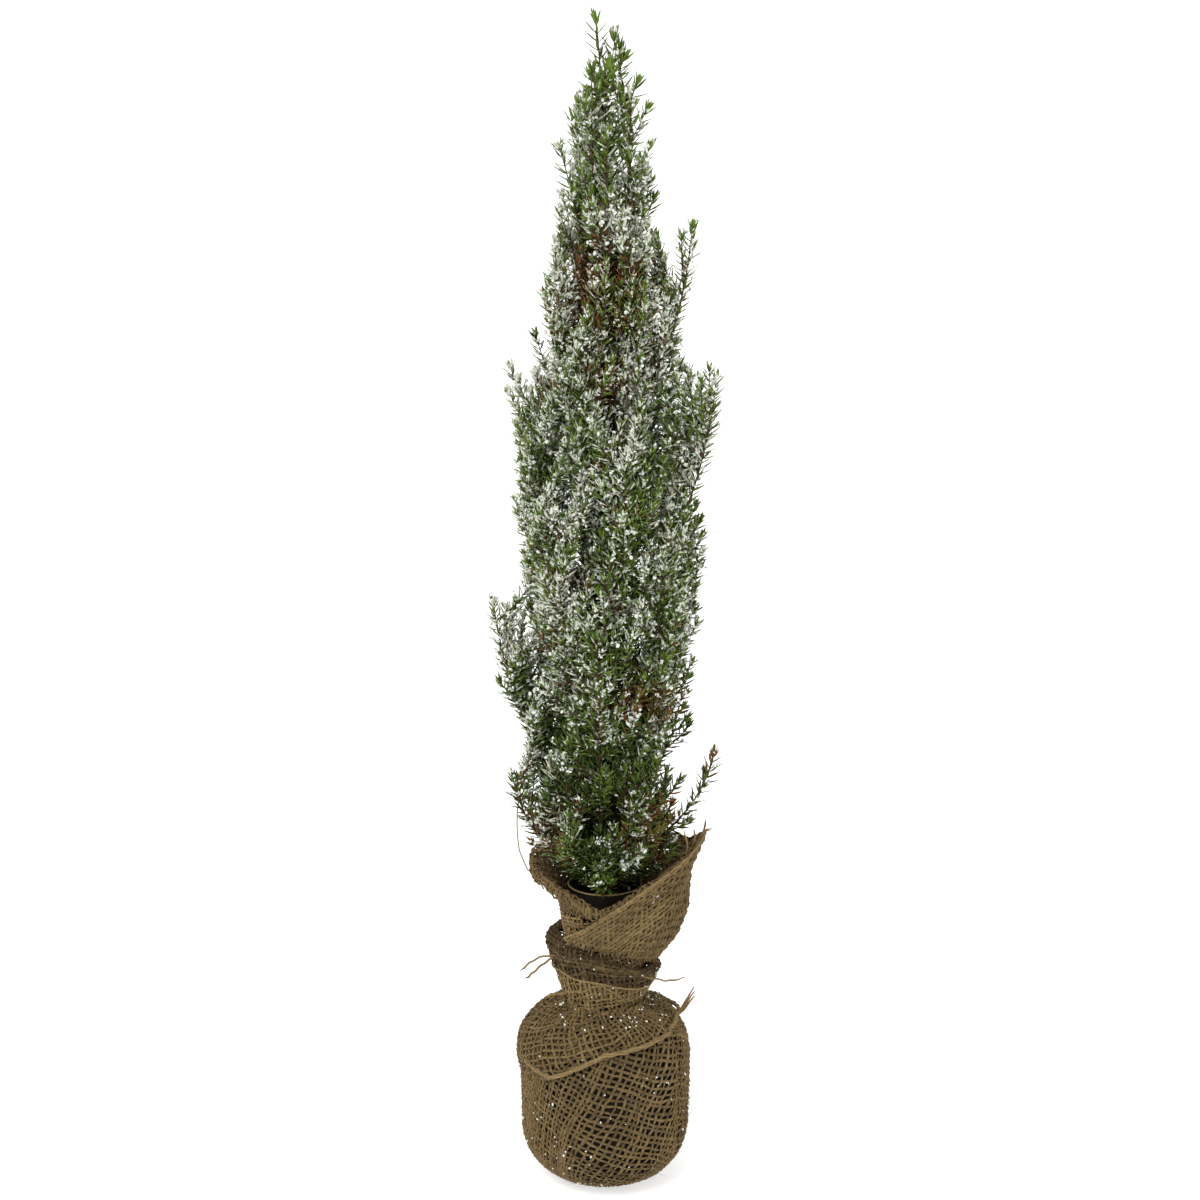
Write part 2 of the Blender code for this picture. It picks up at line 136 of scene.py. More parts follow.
# The band's section: how far out in mm, and the share of its height.
BAND_PROFILE = ((0.2, 0.0), (1.8, 0.2), (4.6, 0.55), (7.0, 0.84), (7.6, 0.95), (6.4, 1.06), (3.5, 1.1),
                (1.4, 1.05))
TIE_LIFT = 1.7 * MM
FOAM_TOP = 150.0 * MM
FLAP_FOOT = ((225, 0.1355), (262, 0.1345), (300, 0.1295), (360, 0.119), (400, 0.1205))
FLAP_TOP = ((225, 0.14), (250, 0.147), (262, 0.152), (300, 0.17), (335, 0.185), (355, 0.1925),
            (372, 0.185), (400, 0.174))
FLAP_REACH = ((225, 0.03), (250, 0.03), (262, 0.031), (300, 0.04), (335, 0.048), (355, 0.052),
              (372, 0.049), (400, 0.045))
FLAP_FULLNESS = ((0.0, 0.0), (0.1, 0.2), (0.23, 0.46), (0.44, 0.66), (0.74, 0.76), (1.0, 1.0))
# How far apart the root wrap's threads are drawn, by azimuth.
STRETCH = ((0, 0.8), (60, 0.95), (150, 0.9), (185, 0.8), (212, 0.66), (243, 0.7), (259, 0.95), (275, 1.12),
           (300, 1.12), (317, 0.98), (332, 0.8), (360, 0.8))
TIE_HEIGHTS = ((8, 0.088), (90, 0.081), (150, 0.074), (207, 0.071), (232, 0.069), (270, 0.083),
               (320, 0.087), (352, 0.089))

FLOOR_RADIUS = 2.2
FLOOR_CURVE = 1.2
SKY_STRENGTH = 0.85
SUN_STRENGTH = 1.6
LENS = 75.2
CAMERA_PLACE = (-0.0026, -1.25, 0.6)
CAMERA_DIP = 12.85    # degrees below level


# Materials


class Value:
    """A node's output socket, on which arithmetic adds Math nodes."""

    def __init__(self, finish, socket):
        self.finish = finish
        self.socket = socket

    def maths(self, operation, first, second):
        return self.finish.node("ShaderNodeMath", {"operation": operation}, [first, second])

    def __add__(self, other):
        return self.maths("ADD", self, other)

    def __sub__(self, other):
        return self.maths("SUBTRACT", self, other)

    def __mul__(self, other):
        return self.maths("MULTIPLY", self, other)

    def __radd__(self, other):
        return self.maths("ADD", other, self)

    def __rsub__(self, other):
        return self.maths("SUBTRACT", other, self)

    def __rmul__(self, other):
        return self.maths("MULTIPLY", other, self)


class Finish:
    """A Principled material that is put together node by node."""

    def __init__(self, name, **shader):
        self.material = bpy.data.materials.new(name)
        self.material.use_nodes = True
        self.tree = self.material.node_tree
        self.shader = self.tree.nodes["Principled BSDF"]
        for socket, value in shader.items():
            self.shader.inputs[socket.replace("_", " ")].default_value = value

    def join(self, socket, value):
        if isinstance(value, Value):
            self.tree.links.new(value.socket, socket)
        elif isinstance(value, tuple) and len(value) == 3 and socket.type == "RGBA":
            socket.default_value = (*value, 1.0)
        else:
            socket.default_value = value

    def node(self, kind, settings=None, sockets=(), output=0):
        made = self.tree.nodes.new(kind)
        for name, value in (settings or {}).items():
            if name == "stops":
                for stop, (place, level) in zip(made.color_ramp.elements, value):
                    stop.position = place
                    stop.color = (level, level, level, 1.0)
            else:
                setattr(made, name, value)
        for key, value in sockets.items() if isinstance(sockets, dict) else enumerate(sockets):
            self.join(made.inputs[key], value)
        return Value(self, made.outputs[output])

    def mix(self, factor, first, second):
        """A colour between two others."""
        settings = {"data_type": "RGBA", "clamp_factor": True}
        return self.node("ShaderNodeMix", settings, {0: factor, 6: first, 7: second}, output=2)

    def noise(self, scale, detail=2.0, where=None):
        where = where or self.node("ShaderNodeTexCoord", output=3)
        return self.node("ShaderNodeTexNoise", {}, {"Vector": where, "Scale": scale, "Detail": detail})

    def attribute(self, name, output=2):
        return self.node("ShaderNodeAttribute", {"attribute_name": name}, output=output)

    def ramp(self, value, low, high):
        """0 under low, 1 over high and a straight rise between."""
        settings = {"stops": ((low, 0.0), (high, 1.0))}
        return self.node("ShaderNodeValToRGB", settings, [value])

    def bump(self, height, strength, distance):
        sockets = {"Height": height, "Strength": strength, "Distance": distance}
        return self.node("ShaderNodeBump", {}, sockets)

    def set(self, **shader):
        for socket, value in shader.items():
            self.join(self.shader.inputs[socket.replace("_", " ")], value)
        return self.material


def needle_finish():
    """Moulded needles: each has its own green or rust, with painted shade in the tone, and flock sticks to
    some in patches.
    """
    finish = Finish("moulded_needles", Specular_IOR_Level=0.18)
    tone = finish.attribute("tone", output=0)
    parts = finish.node("ShaderNodeSeparateColor", {}, [tone], output=0)
    rust = Value(finish, parts.socket.node.outputs[1])
    frost = Value(finish, parts.socket.node.outputs[2])
    along = finish.attribute("along")
    green = finish.mix(parts * 0.75 + along * 0.35, GREEN_DARK, GREEN_LIGHT)
    body = finish.mix(rust, green, RUST)
    specks = finish.noise(400.0, detail=3.0)
    cover = finish.ramp(specks + frost * 0.32, 0.68, 0.73)
    colour = finish.mix(cover, body, FROST)
    rough = 0.52 + cover * 0.4
    normal = finish.bump(specks + cover * 1.5, 0.5, 0.0004)
    return finish.set(Base_Color=colour, Roughness=rough, Normal=normal)


def bark_finish():
    finish = Finish("twig_bark", Specular_IOR_Level=0.25)
    grain = finish.noise(900.0, detail=4.0)
    colour = finish.mix(finish.ramp(grain, 0.35, 0.7), BARK, (0.13, 0.07, 0.038))
    return finish.set(Base_Color=colour, Roughness=0.6 + grain * 0.3, Normal=finish.bump(grain, 0.6, 0.0003))


def flock_finish():
    finish = Finish("snow_flock", Specular_IOR_Level=0.2, Subsurface_Weight=0.0)
    grain = finish.noise(1500.0, detail=3.0)
    colour = finish.mix(grain, (0.54, 0.57, 0.5), (0.92, 0.93, 0.86))
    return finish.set(Base_Color=colour, Roughness=0.8 + grain * 0.15, Normal=finish.bump(grain, 0.7, 0.0004))


def jute_finish(name, dark, light):
    """Spun jute: a twist of fibres round each thread, with paler and darker lengths."""
    finish = Finish(name, Specular_IOR_Level=0.12, Sheen_Weight=0.06, Sheen_Roughness=0.5)
    thread = finish.attribute("thread", output=1)
    parts = finish.node("ShaderNodeSeparateXYZ", {}, [thread], output=0)
    around = Value(finish, parts.socket.node.outputs[1])
    tint = Value(finish, parts.socket.node.outputs[2])
    phase = parts * 2600.0 + around * math.tau
    twist = finish.node("ShaderNodeMath", {"operation": "SINE"}, [phase]) * 0.5 + 0.5
    slub = finish.noise(260.0, detail=3.0)
    fibre = finish.noise(1900.0, detail=4.0)
    level = tint * 0.5 + slub * 0.75 + fibre * 0.5 + twist * 0.14 - 0.45
    normal = finish.bump(twist + fibre * 1.2, 0.55, 0.00022)
    return finish.set(Base_Color=finish.mix(level, dark, light), Roughness=0.82 + fibre * 0.15, Normal=normal)


def plain_finish(name, dark, light, rough, scale, metallic=0.0, bump=0.3, shine=0.5):
    """A moulded, cast or rolled surface with a fine mottle."""
    finish = Finish(name, Metallic=metallic, Specular_IOR_Level=shine)
    grain = finish.noise(scale, detail=4.0)
    return finish.set(Base_Color=finish.mix(grain, dark, light), Roughness=rough - 0.08 + grain * 0.16,
                      Normal=finish.bump(grain, bump, 0.0003))


FLOCK_FINISH = flock_finish()
FOLIAGE_FINISHES = [needle_finish(), bark_finish(), FLOCK_FINISH]
BURLAP_FINISH = jute_finish("burlap_threads", JUTE_DARK, JUTE_LIGHT)
HEM_FINISH = jute_finish("jute_cord", (0.085, 0.054, 0.02), (0.3, 0.208, 0.092))


# Meshes


# What a point can carry: name, attribute type, numbers in it, and the field that holds them.
VALUE_KINDS = (("tone", "FLOAT_COLOR", 4, "color"), ("along", "FLOAT", 1, "value"),
               ("thread", "FLOAT_VECTOR", 3, "vector"))


class Mesher:
    """Gathers many small shapes into one mesh, with values for each point."""

    def __init__(self):
        self.charts, self.points, self.faces, self.finishes = [], [], [], []
        self.values, self.count = {}, 0

    def add(self, points, faces, finish=0, chart=None, **values):
        """points is (n, 3), and faces is (m, 3) or (m, 4). chart is each corner's place on the flattened
        piece in metres: (m, corners, 2), or (pieces, faces, corners, 2) for many alike."""
        if chart is None:
            chart = np.zeros((1, len(faces), faces.shape[1], 2))
        self.charts.extend(chart if chart.ndim == 4 else [chart])
        self.points.append(points)
        self.faces.extend((faces + self.count).tolist())
        self.finishes.extend([finish] * len(faces))
        for name, value in values.items():
            self.values.setdefault(name, []).append((self.count, np.asarray(value, float)))
        self.count += len(points)

    def make(self, name, finishes):
        """The finished object, with an attribute for each kind of value that was added."""
        mesh = bpy.data.meshes.new(name)
        points = np.concatenate(self.points)
        mesh.from_pydata(points.tolist(), [], self.faces)
        for finish in finishes:
            mesh.materials.append(finish)
        mesh.polygons.foreach_set("material_index", self.finishes)
        for key, kind, width, field in VALUE_KINDS:
            if key in self.values:
                whole = np.zeros((len(points), width))
                for start, value in self.values[key]:
                    whole[start:start + len(value)] = value.reshape(-1, width)
                mesh.attributes.new(key, kind, "POINT").data.foreach_set(field, whole.ravel())
        mesh.uv_layers.new(name="OFBake").uv.foreach_set("vector", self.laid_out().ravel())
        mesh.shade_smooth()
        mesh.validate()
        made = bpy.data.objects.new(name, mesh)
        bpy.context.collection.objects.link(made)
        return made

    def laid_out(self):
        """Every face corner's place on one square map, where the charts lie in rows."""
        flats = [chart.reshape(-1, 2) for chart in self.charts]
        sizes = np.array([flat.max(0) for flat in flats]) + 0.25 * MM
        side = max(math.sqrt(sizes.prod(1).sum() * 1.06), sizes[:, 0].max())
        places = np.zeros((len(flats), 2))
        x = y = row = 0.0
        for k in np.argsort(-sizes[:, 1], kind="stable"):
            if x + sizes[k, 0] > side:
                x, y, row = 0.0, y + row, 0.0
            places[k] = x, y
            x += sizes[k, 0]
            row = max(row, sizes[k, 1])
        return np.concatenate([flat + place for flat, place in zip(flats, places)]) / max(side, y + row)


def unit(vectors):
    return vectors / np.maximum(np.linalg.norm(vectors, axis=-1, keepdims=True), 1e-12)


def outward(points):
    """Level directions from the trunk's axis to the points."""
    return unit(points * np.array([1, 1, 0]))


def gaps(points):
    """The distance from each point to the next."""
    return np.linalg.norm(np.diff(np.asarray(points), axis=0), axis=1)


def distance_along(points):
    return np.concatenate([[0.0], np.cumsum(gaps(points))])


def any_way(draw):
    """A direction and length at random."""
    return np.array([draw.gauss(0, 1) for _ in range(3)])


def template(add_shape, shape_it):
    """Points and faces of a small shape, which is added and then edited as by hand."""
    bpy.ops.object.select_all(action="DESELECT")
    add_shape()
    piece = bpy.context.object
    bpy.ops.object.mode_set(mode="EDIT")
    shape_it(piece)
    bpy.ops.mesh.select_all(action="SELECT")
    bpy.ops.mesh.quads_convert_to_tris()
    bpy.ops.mesh.normals_make_consistent(inside=False)
    bpy.ops.object.mode_set(mode="OBJECT")
    points = np.array([v.co for v in piece.data.vertices])
    faces = np.array([list(p.vertices) for p in piece.data.polygons])
    bpy.data.objects.remove(piece)
    return points, faces


def pick(piece, test):
    """Selects the points that pass a test of their place, in edit mode."""
    bpy.ops.mesh.select_all(action="DESELECT")
    bpy.ops.object.mode_set(mode="OBJECT")
    for vertex in piece.data.vertices:
        vertex.select = test(vertex.co)
    bpy.ops.object.mode_set(mode="EDIT")


def needle_shape():
    """A flat three-sided blade of length 1 along Z, widest across Y a third of the way up."""
    def add():
        bpy.ops.mesh.primitive_cone_add(vertices=3, radius1=0.06, depth=1.0, location=(0, 0, 0.5))
        bpy.ops.object.transform_apply(location=True)

    def shape(piece):
        for height in (0.34, 0.7):
            bpy.ops.mesh.select_all(action="SELECT")
            bpy.ops.mesh.bisect(plane_co=(0, 0, height), plane_no=(0, 0, 1))
        for height, across, thick, bow in NEEDLE_RINGS:
            pick(piece, lambda co: abs(co.z - height) < 0.01)
            bpy.ops.transform.resize(value=(thick, across, 1.0))
            bpy.ops.transform.translate(value=(bow, 0, 0))

    return template(add, shape)


def flake_shape():
    """An uneven crumb of flock, about 1 across."""
    def add():
        bpy.ops.mesh.primitive_ico_sphere_add(subdivisions=1, radius=0.5)

    def shape(piece):
        bpy.ops.mesh.select_all(action="SELECT")
        bpy.ops.transform.resize(value=(1.0, 0.72, 0.5))
        pick(piece, lambda co: co.x > 0.2)
        bpy.ops.transform.resize(value=(1.25, 0.6, 0.8))

    return template(add, shape)


def flattened(points, faces):
    """Each face corner's place when a small shape is seen from its two sides, laid one above the other."""
    a, b, c = (points[faces[:, k]] for k in range(3))
    away = np.cross(b - a, c - a)[:, 0] < 0
    flat = points[faces][:, :, [2, 1]] - points.min(0)[[2, 1]]
    flat[away, :, 1] += np.ptp(points[:, 1]) * 1.08
    return flat


def sweep(mesher, centres, widths, heights=None, sides=6, finish=0, tint=0.5, normals=None):
    """Adds a tube along a run of centres, oval across: widths beside the normal, heights along it."""
    heights = widths if heights is None else heights
    ahead = unit(np.gradient(centres, axis=0))
    side = unit(np.cross(ahead, lift(centres) if normals is None else normals))
    up = np.cross(side, ahead)
    turns = np.arange(sides) * math.tau / sides
    ring = side[:, None] * np.cos(turns)[None, :, None] * np.reshape(widths, (-1, 1, 1))
    ring = ring + up[:, None] * np.sin(turns)[None, :, None] * np.reshape(heights, (-1, 1, 1))
    points = (centres[:, None] + ring).reshape(-1, 3)
    rows = np.arange(len(centres) - 1)[:, None] * sides
    k = np.arange(sides)[None]
    after = (k + 1) % sides
    quads = np.stack([rows + k, rows + after, rows + sides + after, rows + sides + k], -1).reshape(-1, 4)
    last = (len(centres) - 1) * sides
    fan = np.arange(1, sides - 1)
    caps = np.stack([np.zeros_like(fan), fan + 1, fan], -1)
    caps = np.concatenate([caps, np.stack([np.full_like(fan, last), last + fan, last + fan + 1], -1)])
    along = distance_along(centres)
    thread = np.stack([np.repeat(along, sides), np.tile(np.arange(sides) / sides, len(centres)),
                       np.repeat(np.broadcast_to(tint, len(centres)), sides)], -1)
    girth = float(np.mean(widths) + np.mean(heights)) * math.pi
    corners = np.array([[0, 0], [0, 1], [1, 1], [1, 0]])
    steps = np.stack(np.meshgrid(np.arange(len(centres) - 1), np.arange(sides), indexing="ij"), -1)
    steps = steps.reshape(-1, 1, 2)
    chart = (steps + corners) * np.array([1.0, girth / sides])
    chart[..., 0] = along[chart[..., 0].astype(int)]
    mesher.add(points, quads, finish, chart, thread=thread)
    mesher.charts.append(np.zeros((len(caps), 3, 2)))
    mesher.faces.extend((caps + mesher.count - len(points)).tolist())
    mesher.finishes.extend([finish] * len(caps))


def smooth_rail(points, count):
    """count points on a Catmull-Rom curve through the given ones."""
    points = np.asarray(points, float)
    ends = np.concatenate([2 * points[:1] - points[1:2], points, 2 * points[-1:] - points[-2:-1]])
    where = np.linspace(0, len(points) - 1, count)
    k = np.minimum(where.astype(int), len(points) - 2)
    t = (where - k)[:, None]
    a, b, c, d = ends[k], ends[k + 1], ends[k + 2], ends[k + 3]
    return 0.5 * (2 * b + (c - a) * t + (2 * a - 5 * b + 4 * c - d) * t * t + (3 * b - a - 3 * c + d) * t**3)


def on_ring(radius, turn, height):
    """Points from their distance out, azimuth and height."""
    return np.stack([radius * np.cos(turn), radius * np.sin(turn), height], -1)


def read_off(table, x):
    """A value from a table of (x, value) rows, straight between them."""
    return np.interp(x, *zip(*table))


def lift(points):
    """A normal for each point of a rail, square to it as nearly as can be."""
    ahead = unit(np.gradient(points, axis=0))
    guide = np.where(np.abs(ahead[:, 1:2]) > 0.9, np.array([[1.0, 0, 0]]), np.array([[0, 1.0, 0]]))
    return unit(np.cross(ahead, guide))


# Sprays


def trunk_radius(height):
    share = (height - TRUNK[0].z) / (TRUNK[1].z - TRUNK[0].z)
    return TRUNK_RADIUS_LOW + (TRUNK_RADIUS_HIGH - TRUNK_RADIUS_LOW) * share


def bezier(points, t):
    a, b, c, d = points
    s = 1 - t
    return a * s**3 + b * 3 * s * s * t + c * 3 * s * t * t + d * t**3


def main_stem(out, rise):
    """The stem from its hinge, in its radial plane: out of the tape, then upward."""
    return (Vector((0, 0, 0)), Vector((0.3 * out + 0.004, 0, 0.1 * rise)),
            Vector((0.88 * out, 0, 0.45 * rise)), Vector((out, 0, rise)))


def cad_twigs(stem, hinge_radius, rise, draw):
    """The side twigs that the CAD spray has, leaving alternately outward and inward."""
    count = 4 if rise > 0.08 else 2
    twigs = []
    for k in range(count):
        t = 0.34 + 0.46 * k / (count - 1) + draw.uniform(-0.03, 0.03)
        root = bezier(stem, t)
        ahead = (bezier(stem, t + 0.05) - root).normalized()
        lean = math.radians(draw.uniform(14, 20)) * (1 if k % 2 == 0 else -0.8)
        heading = Vector((ahead.x * math.cos(lean) + ahead.z * math.sin(lean), 0,
                          ahead.z * math.cos(lean) - ahead.x * math.sin(lean)))
        length = draw.uniform(0.26, 0.32) * rise * (1 if k % 2 == 0 else 0.85)
        twist = draw.choice((-1, 1)) * draw.uniform(0.3, 0.8)
        rail = []
        for share in (0.0, 0.35, 0.75, 1.0):
            point = root + heading * length * share + Vector((0, 0, 1)) * length * 0.1 * share * share
            room = (hinge_radius + point.x) * math.tan(WEDGE) - TWIG_FOLIAGE - 0.0004
            point.y = max(0.0, room) * twist * share
            rail.append(point)
        twigs.append(rail)
    return twigs


def patches(point, scale, shift):
    """Smooth noise from about -1 to 1."""
    return noise.noise(Vector(point) * scale + Vector((shift, shift, shift)))


RUST_SPRIG = "skirt_sprig_right"
RUST_SPOTS = (
    ((0.06, 0.0, 0.232), 0.017),
    ((-0.002, -0.008, 0.478), 0.034),
    ((0.002, -0.008, 0.43), 0.022),
    ((-0.018, -0.012, 0.425), 0.014),
    ((0.006, -0.012, 0.37), 0.018),
    ((-0.016, -0.012, 0.318), 0.022),
    ((-0.036, -0.012, 0.19), 0.02),
    ((0.03, -0.02, 0.2), 0.018),
    ((0.02, -0.03, 0.27), 0.014),
)


def airy(height):
    """How sparse the foliage is: 0 in the column and 1 round the leader."""
    return min(1.0, max(0.0, (height - 0.482) / 0.06))


def tone_at(point, draw):
    """Tint, rust and frost of the needles at a point of the tree; shade is painted into tint and frost."""
    bare = airy(point[2])
    # How near the trunk a needle is: it drives painted shade below, and more rust in the core.
    inner = max(0.0, 1.0 - math.hypot(point[0], point[1]) / 0.024) * (1 - bare)
    low = min(1.0, max(0.0, (0.33 - point[2]) / 0.12))
    # Painted shade: darker near the trunk and towards the bottom; the frost is thinned there below as well.
    tint = 0.6 + 0.55 * patches(point, 60.0, 3.0) + draw.uniform(-0.42, 0.42) - 0.8 * inner - 0.25 * low
    tint += 0.22 * bare
    spot = max(math.exp(-((Vector(point) - Vector(c)).length / r) ** 2) for c, r in RUST_SPOTS)
    brown = spot * 1.05 + 0.6 * patches(point, 50.0, 11.0) + 0.4 * inner - 0.3 * bare
    rust = draw.uniform(0.4, 1.0) if draw.random() < brown - 0.08 else 0.12 * draw.random()
    top = min(1.0, max(0.0, (0.6 - point[2]) / 0.1))
    cover = 0.5 * top - 0.04 + 0.13 * (1 - low) + 0.1 * bare - 2.2 * point[0]
    cover += 0.45 * patches(point, 42.0, 29.0) + 0.45 * patches(point, 140.0, 7.0)
    # Painted shade: darker and less frosted along the middle of the column, most of all at the bottom.
    middle = max(low, 0.5 - bare) * max(0.0, 1.0 - abs(point[0]) / 0.03)
    tint -= 0.22 * middle
    frost = min(1.0, max(0.0, cover - 0.2 * low - 0.22 * middle - 0.6 * inner + draw.uniform(-0.35, 0.35)))
    return min(1.0, max(0.0, tint)), rust, frost


def add_needles(mesher, rail, start, size, draw, to_world=np.asarray):
    """Whorls of needles along a rail of points, and a tuft at its tip. size is a needle's length."""
    reach = distance_along(rail)
    top = airy(to_world(rail[-1])[2] - 0.015)
    size = size * (1 + 0.26 * top)
    stations = np.arange(start, reach[-1], WHORL_STEP * (1 + 0.4 * top))
    stations = np.append(stations, [reach[-1] - 0.0004] * 2)
    centres = np.stack([np.interp(stations, reach, rail[:, k]) for k in range(3)], -1)
    slope = np.gradient(rail, axis=0)
    ahead = unit(np.stack([np.interp(stations, reach, slope[:, k]) for k in range(3)], -1))
    count = len(stations) * NEEDLES_A_WHORL
    jitter = np.array([[draw.random() for _ in range(4)] for _ in range(count)])
    whorl = np.repeat(np.arange(len(stations)), NEEDLES_A_WHORL)
    turn = (np.tile(np.arange(NEEDLES_A_WHORL), len(stations)) * math.tau / NEEDLES_A_WHORL
            + whorl * 1.1 + (jitter[:, 0] - 0.5) * 0.9)
    axis, centre = ahead[whorl], centres[whorl]
    first = unit(np.cross(axis, np.array([0.31, 0.87, 0.38])))
    second = np.cross(axis, first)
    side = first * np.cos(turn)[:, None] + second * np.sin(turn)[:, None]
    left = np.clip((reach[-1] - stations[whorl]) / (7 * MM), 0.0, 1.0)
    spread = np.radians(25 + 27 * left + (jitter[:, 1] - 0.5) * 26)[:, None]
    heading = unit(axis * np.cos(spread) + side * np.sin(spread) + np.array([0, 0, 0.08]))
    length = size * (0.78 + 0.22 * left) * (0.82 + 0.36 * jitter[:, 2])
    curl = unit(axis - heading * (axis * heading).sum(-1, keepdims=True))
    cross = np.cross(heading, curl)
    thick = (NEEDLE_LENGTH * (0.85 + 0.3 * jitter[:, 3]))[:, None, None]
    shape, faces = NEEDLE
    local = (curl[:, None] * shape[None, :, 0:1] * thick + cross[:, None] * shape[None, :, 1:2] * thick
             + heading[:, None] * shape[None, :, 2:3] * length[:, None, None])
    points = to_world(local + centre[:, None])
    middles = to_world(centre + heading * length[:, None] * 0.5)
    tones = np.array([tone_at(middle, draw) for middle in middles])
    every = np.arange(count)[:, None, None] * len(shape) + faces[None]
    colours = np.concatenate([tones, np.ones((count, 1))], -1)
    chart = np.broadcast_to(flattened(shape, faces) * NEEDLE_LENGTH, (count, len(faces), 3, 2))
    mesher.add(points.reshape(-1, 3), every.reshape(-1, 3), 0, chart, tone=np.repeat(colours, len(shape), 0),
               along=np.tile(np.clip(shape[:, 2], 0, 1), count))
    for k in range(count):
        if draw.random() < tones[k, 2] - 0.25:
            place = to_world(centre[k] + heading[k] * length[k] * draw.uniform(0.15, 0.85))
            for _ in range(draw.choice((1, 2, 3))):
                near = place + any_way(draw) * 0.7 * MM
                add_flake(mesher, near, draw.triangular(1.0, 3.2, 1.6) * MM, draw, 2)


def add_flake(mesher, place, size, draw, finish):
    """One crumb of flock, turned at random."""
    shape, faces = FLAKE
    axes = np.linalg.qr(np.array([any_way(draw) for _ in range(3)]))[0]
    if np.linalg.det(axes) < 0:
        axes[:, 0] *= -1
    mesher.add(place + (shape * size) @ axes.T, faces, finish, flattened(shape, faces) * size)


def add_stem(mesher, rail, radius, to_world=np.asarray):
    """A bare stem, which thins towards its tip."""
    radii = radius + (0.4 * radius - radius) * np.linspace(0, 1, len(rail))
    sweep(mesher, to_world(rail), radii, sides=STEM_SIDES, finish=1)


def add_twig(mesher, rail, start, share, draw, to_world=np.asarray):
    """A side twig with its needles, which are a share of a full needle's length."""
    add_stem(mesher, rail, TWIG_RADIUS, to_world)
    add_needles(mesher, rail, start, NEEDLE_LENGTH * share, draw, to_world)


class Spray:
    """One spray's hinge, its own axes and the run of its main stem."""

    def __init__(self, joint):
        self.name = joint["child"]
        self.hinge = Vector(joint["pos_m"])
        axis = Vector(joint["axis"])
        outward = Vector((axis.y, -axis.x, 0))
        self.turn = np.array([[outward.x, axis.x, 0], [outward.y, axis.y, 0], [0, 0, 1.0]])
        tip = max((v.co - self.hinge for v in frame["nodes"][self.name].data.vertices), key=lambda co: co.z)
        self.rise = tip.z
        self.stem = main_stem(tip.dot(outward), self.rise)
        self.rail = np.array([bezier(self.stem, t) for t in np.linspace(0, 1, 20)])
        self.fills = []

    def to_world(self, points):
        return np.asarray(points) @ self.turn.T + np.array(self.hinge)


def column_radius(height, turn):
    """How far out the twig tips reach: fuller where the plumes stand, slimmer above the left one."""
    radius = float(read_off(COLUMN, height))
    for azimuth, middle, out in COLUMN_SWELLS:
        radius += out * float(bump_at(turn, azimuth, 38)) * math.exp(-(((height - middle) / 0.022) ** 2))
    return radius


def share_out_twigs(sprays):
    """Gives each spray the twigs that fill the column round its stem, so that no gap shows the trunk."""
    heights, radii = zip(*COLUMN)
    widest = max(radii)
    rails = [spray.to_world(spray.rail[3:-1]) for spray in sprays]
    roots = np.concatenate(rails)
    owner = np.repeat(np.arange(len(sprays)), [len(rail) for rail in rails])
    for k in range(1, FILL_TARGETS):
        u, v, w, x = (k * step % 1.0 for step in (0.8566749, 0.7338919, 0.6287067, 0.5385973))
        height = heights[0] + (heights[-1] - heights[0]) * u
        radius = column_radius(height, math.tau * v)
        if x > radius / widest * (1 - 0.78 * airy(height)) and k > len(PLUME_TIPS):
            continue
        target = on_ring(radius * (0.3 + 0.7 * math.sqrt(w)), math.tau * v, height)
        if k <= len(PLUME_TIPS):
            target = np.array(PLUME_TIPS[k - 1])
        apart = target - roots
        length = np.linalg.norm(apart, axis=1)
        lean = np.arccos(np.clip(apart[:, 2] / length, -1, 1))
        unfit = (length < 0.008) | (length > 0.036) | (lean > 0.95)
        cost = length + 0.02 * (lean / 0.8) ** 2 + 10.0 * unfit
        best = int(cost.argmin())
        if cost[best] < 1.0:
            root, run = roots[best], apart[best]
            side = outward(run)
            share = np.linspace(0, 1, 8)[:, None]
            rail = root + run * share + side * (length[best] * 0.4 * share * (1 - share))
            sprays[owner[best]].fills.append(rail)


def make_spray(spray):
    """One bendable spray, on the hinge that its CAD node turns on."""
    draw = random.Random(f"{SEED} {spray.name}")
    look = random.Random(f"{SEED} look {spray.name}")
    to_world = spray.to_world
    mesher = Mesher()
    foot = np.array([[-0.9, 0, -2.6], [-0.6, 0, -0.8]]) * MM
    add_stem(mesher, np.concatenate([foot, spray.rail]), STEM_RADIUS, to_world)
    add_needles(mesher, spray.rail, 0.1 * spray.rise, NEEDLE_LENGTH, look, to_world)
    hinge_radius = math.hypot(spray.hinge.x, spray.hinge.y)
    for k, twig in enumerate(cad_twigs(spray.stem, hinge_radius, spray.rise, draw)):
        kept = TRIMMED_TWIGS.get((spray.name, k), 1.0)
        if kept:
            side = smooth_rail(twig, 9)
            add_twig(mesher, side[0] + (side - side[0]) * kept, 0.003, 0.96, look, to_world)
    for rail in spray.fills:
        add_twig(mesher, rail, 0.003, 0.94, look)
    made = mesher.make(spray.name + "_needled", FOLIAGE_FINISHES)
    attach(made, spray.name)
    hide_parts(spray.name)


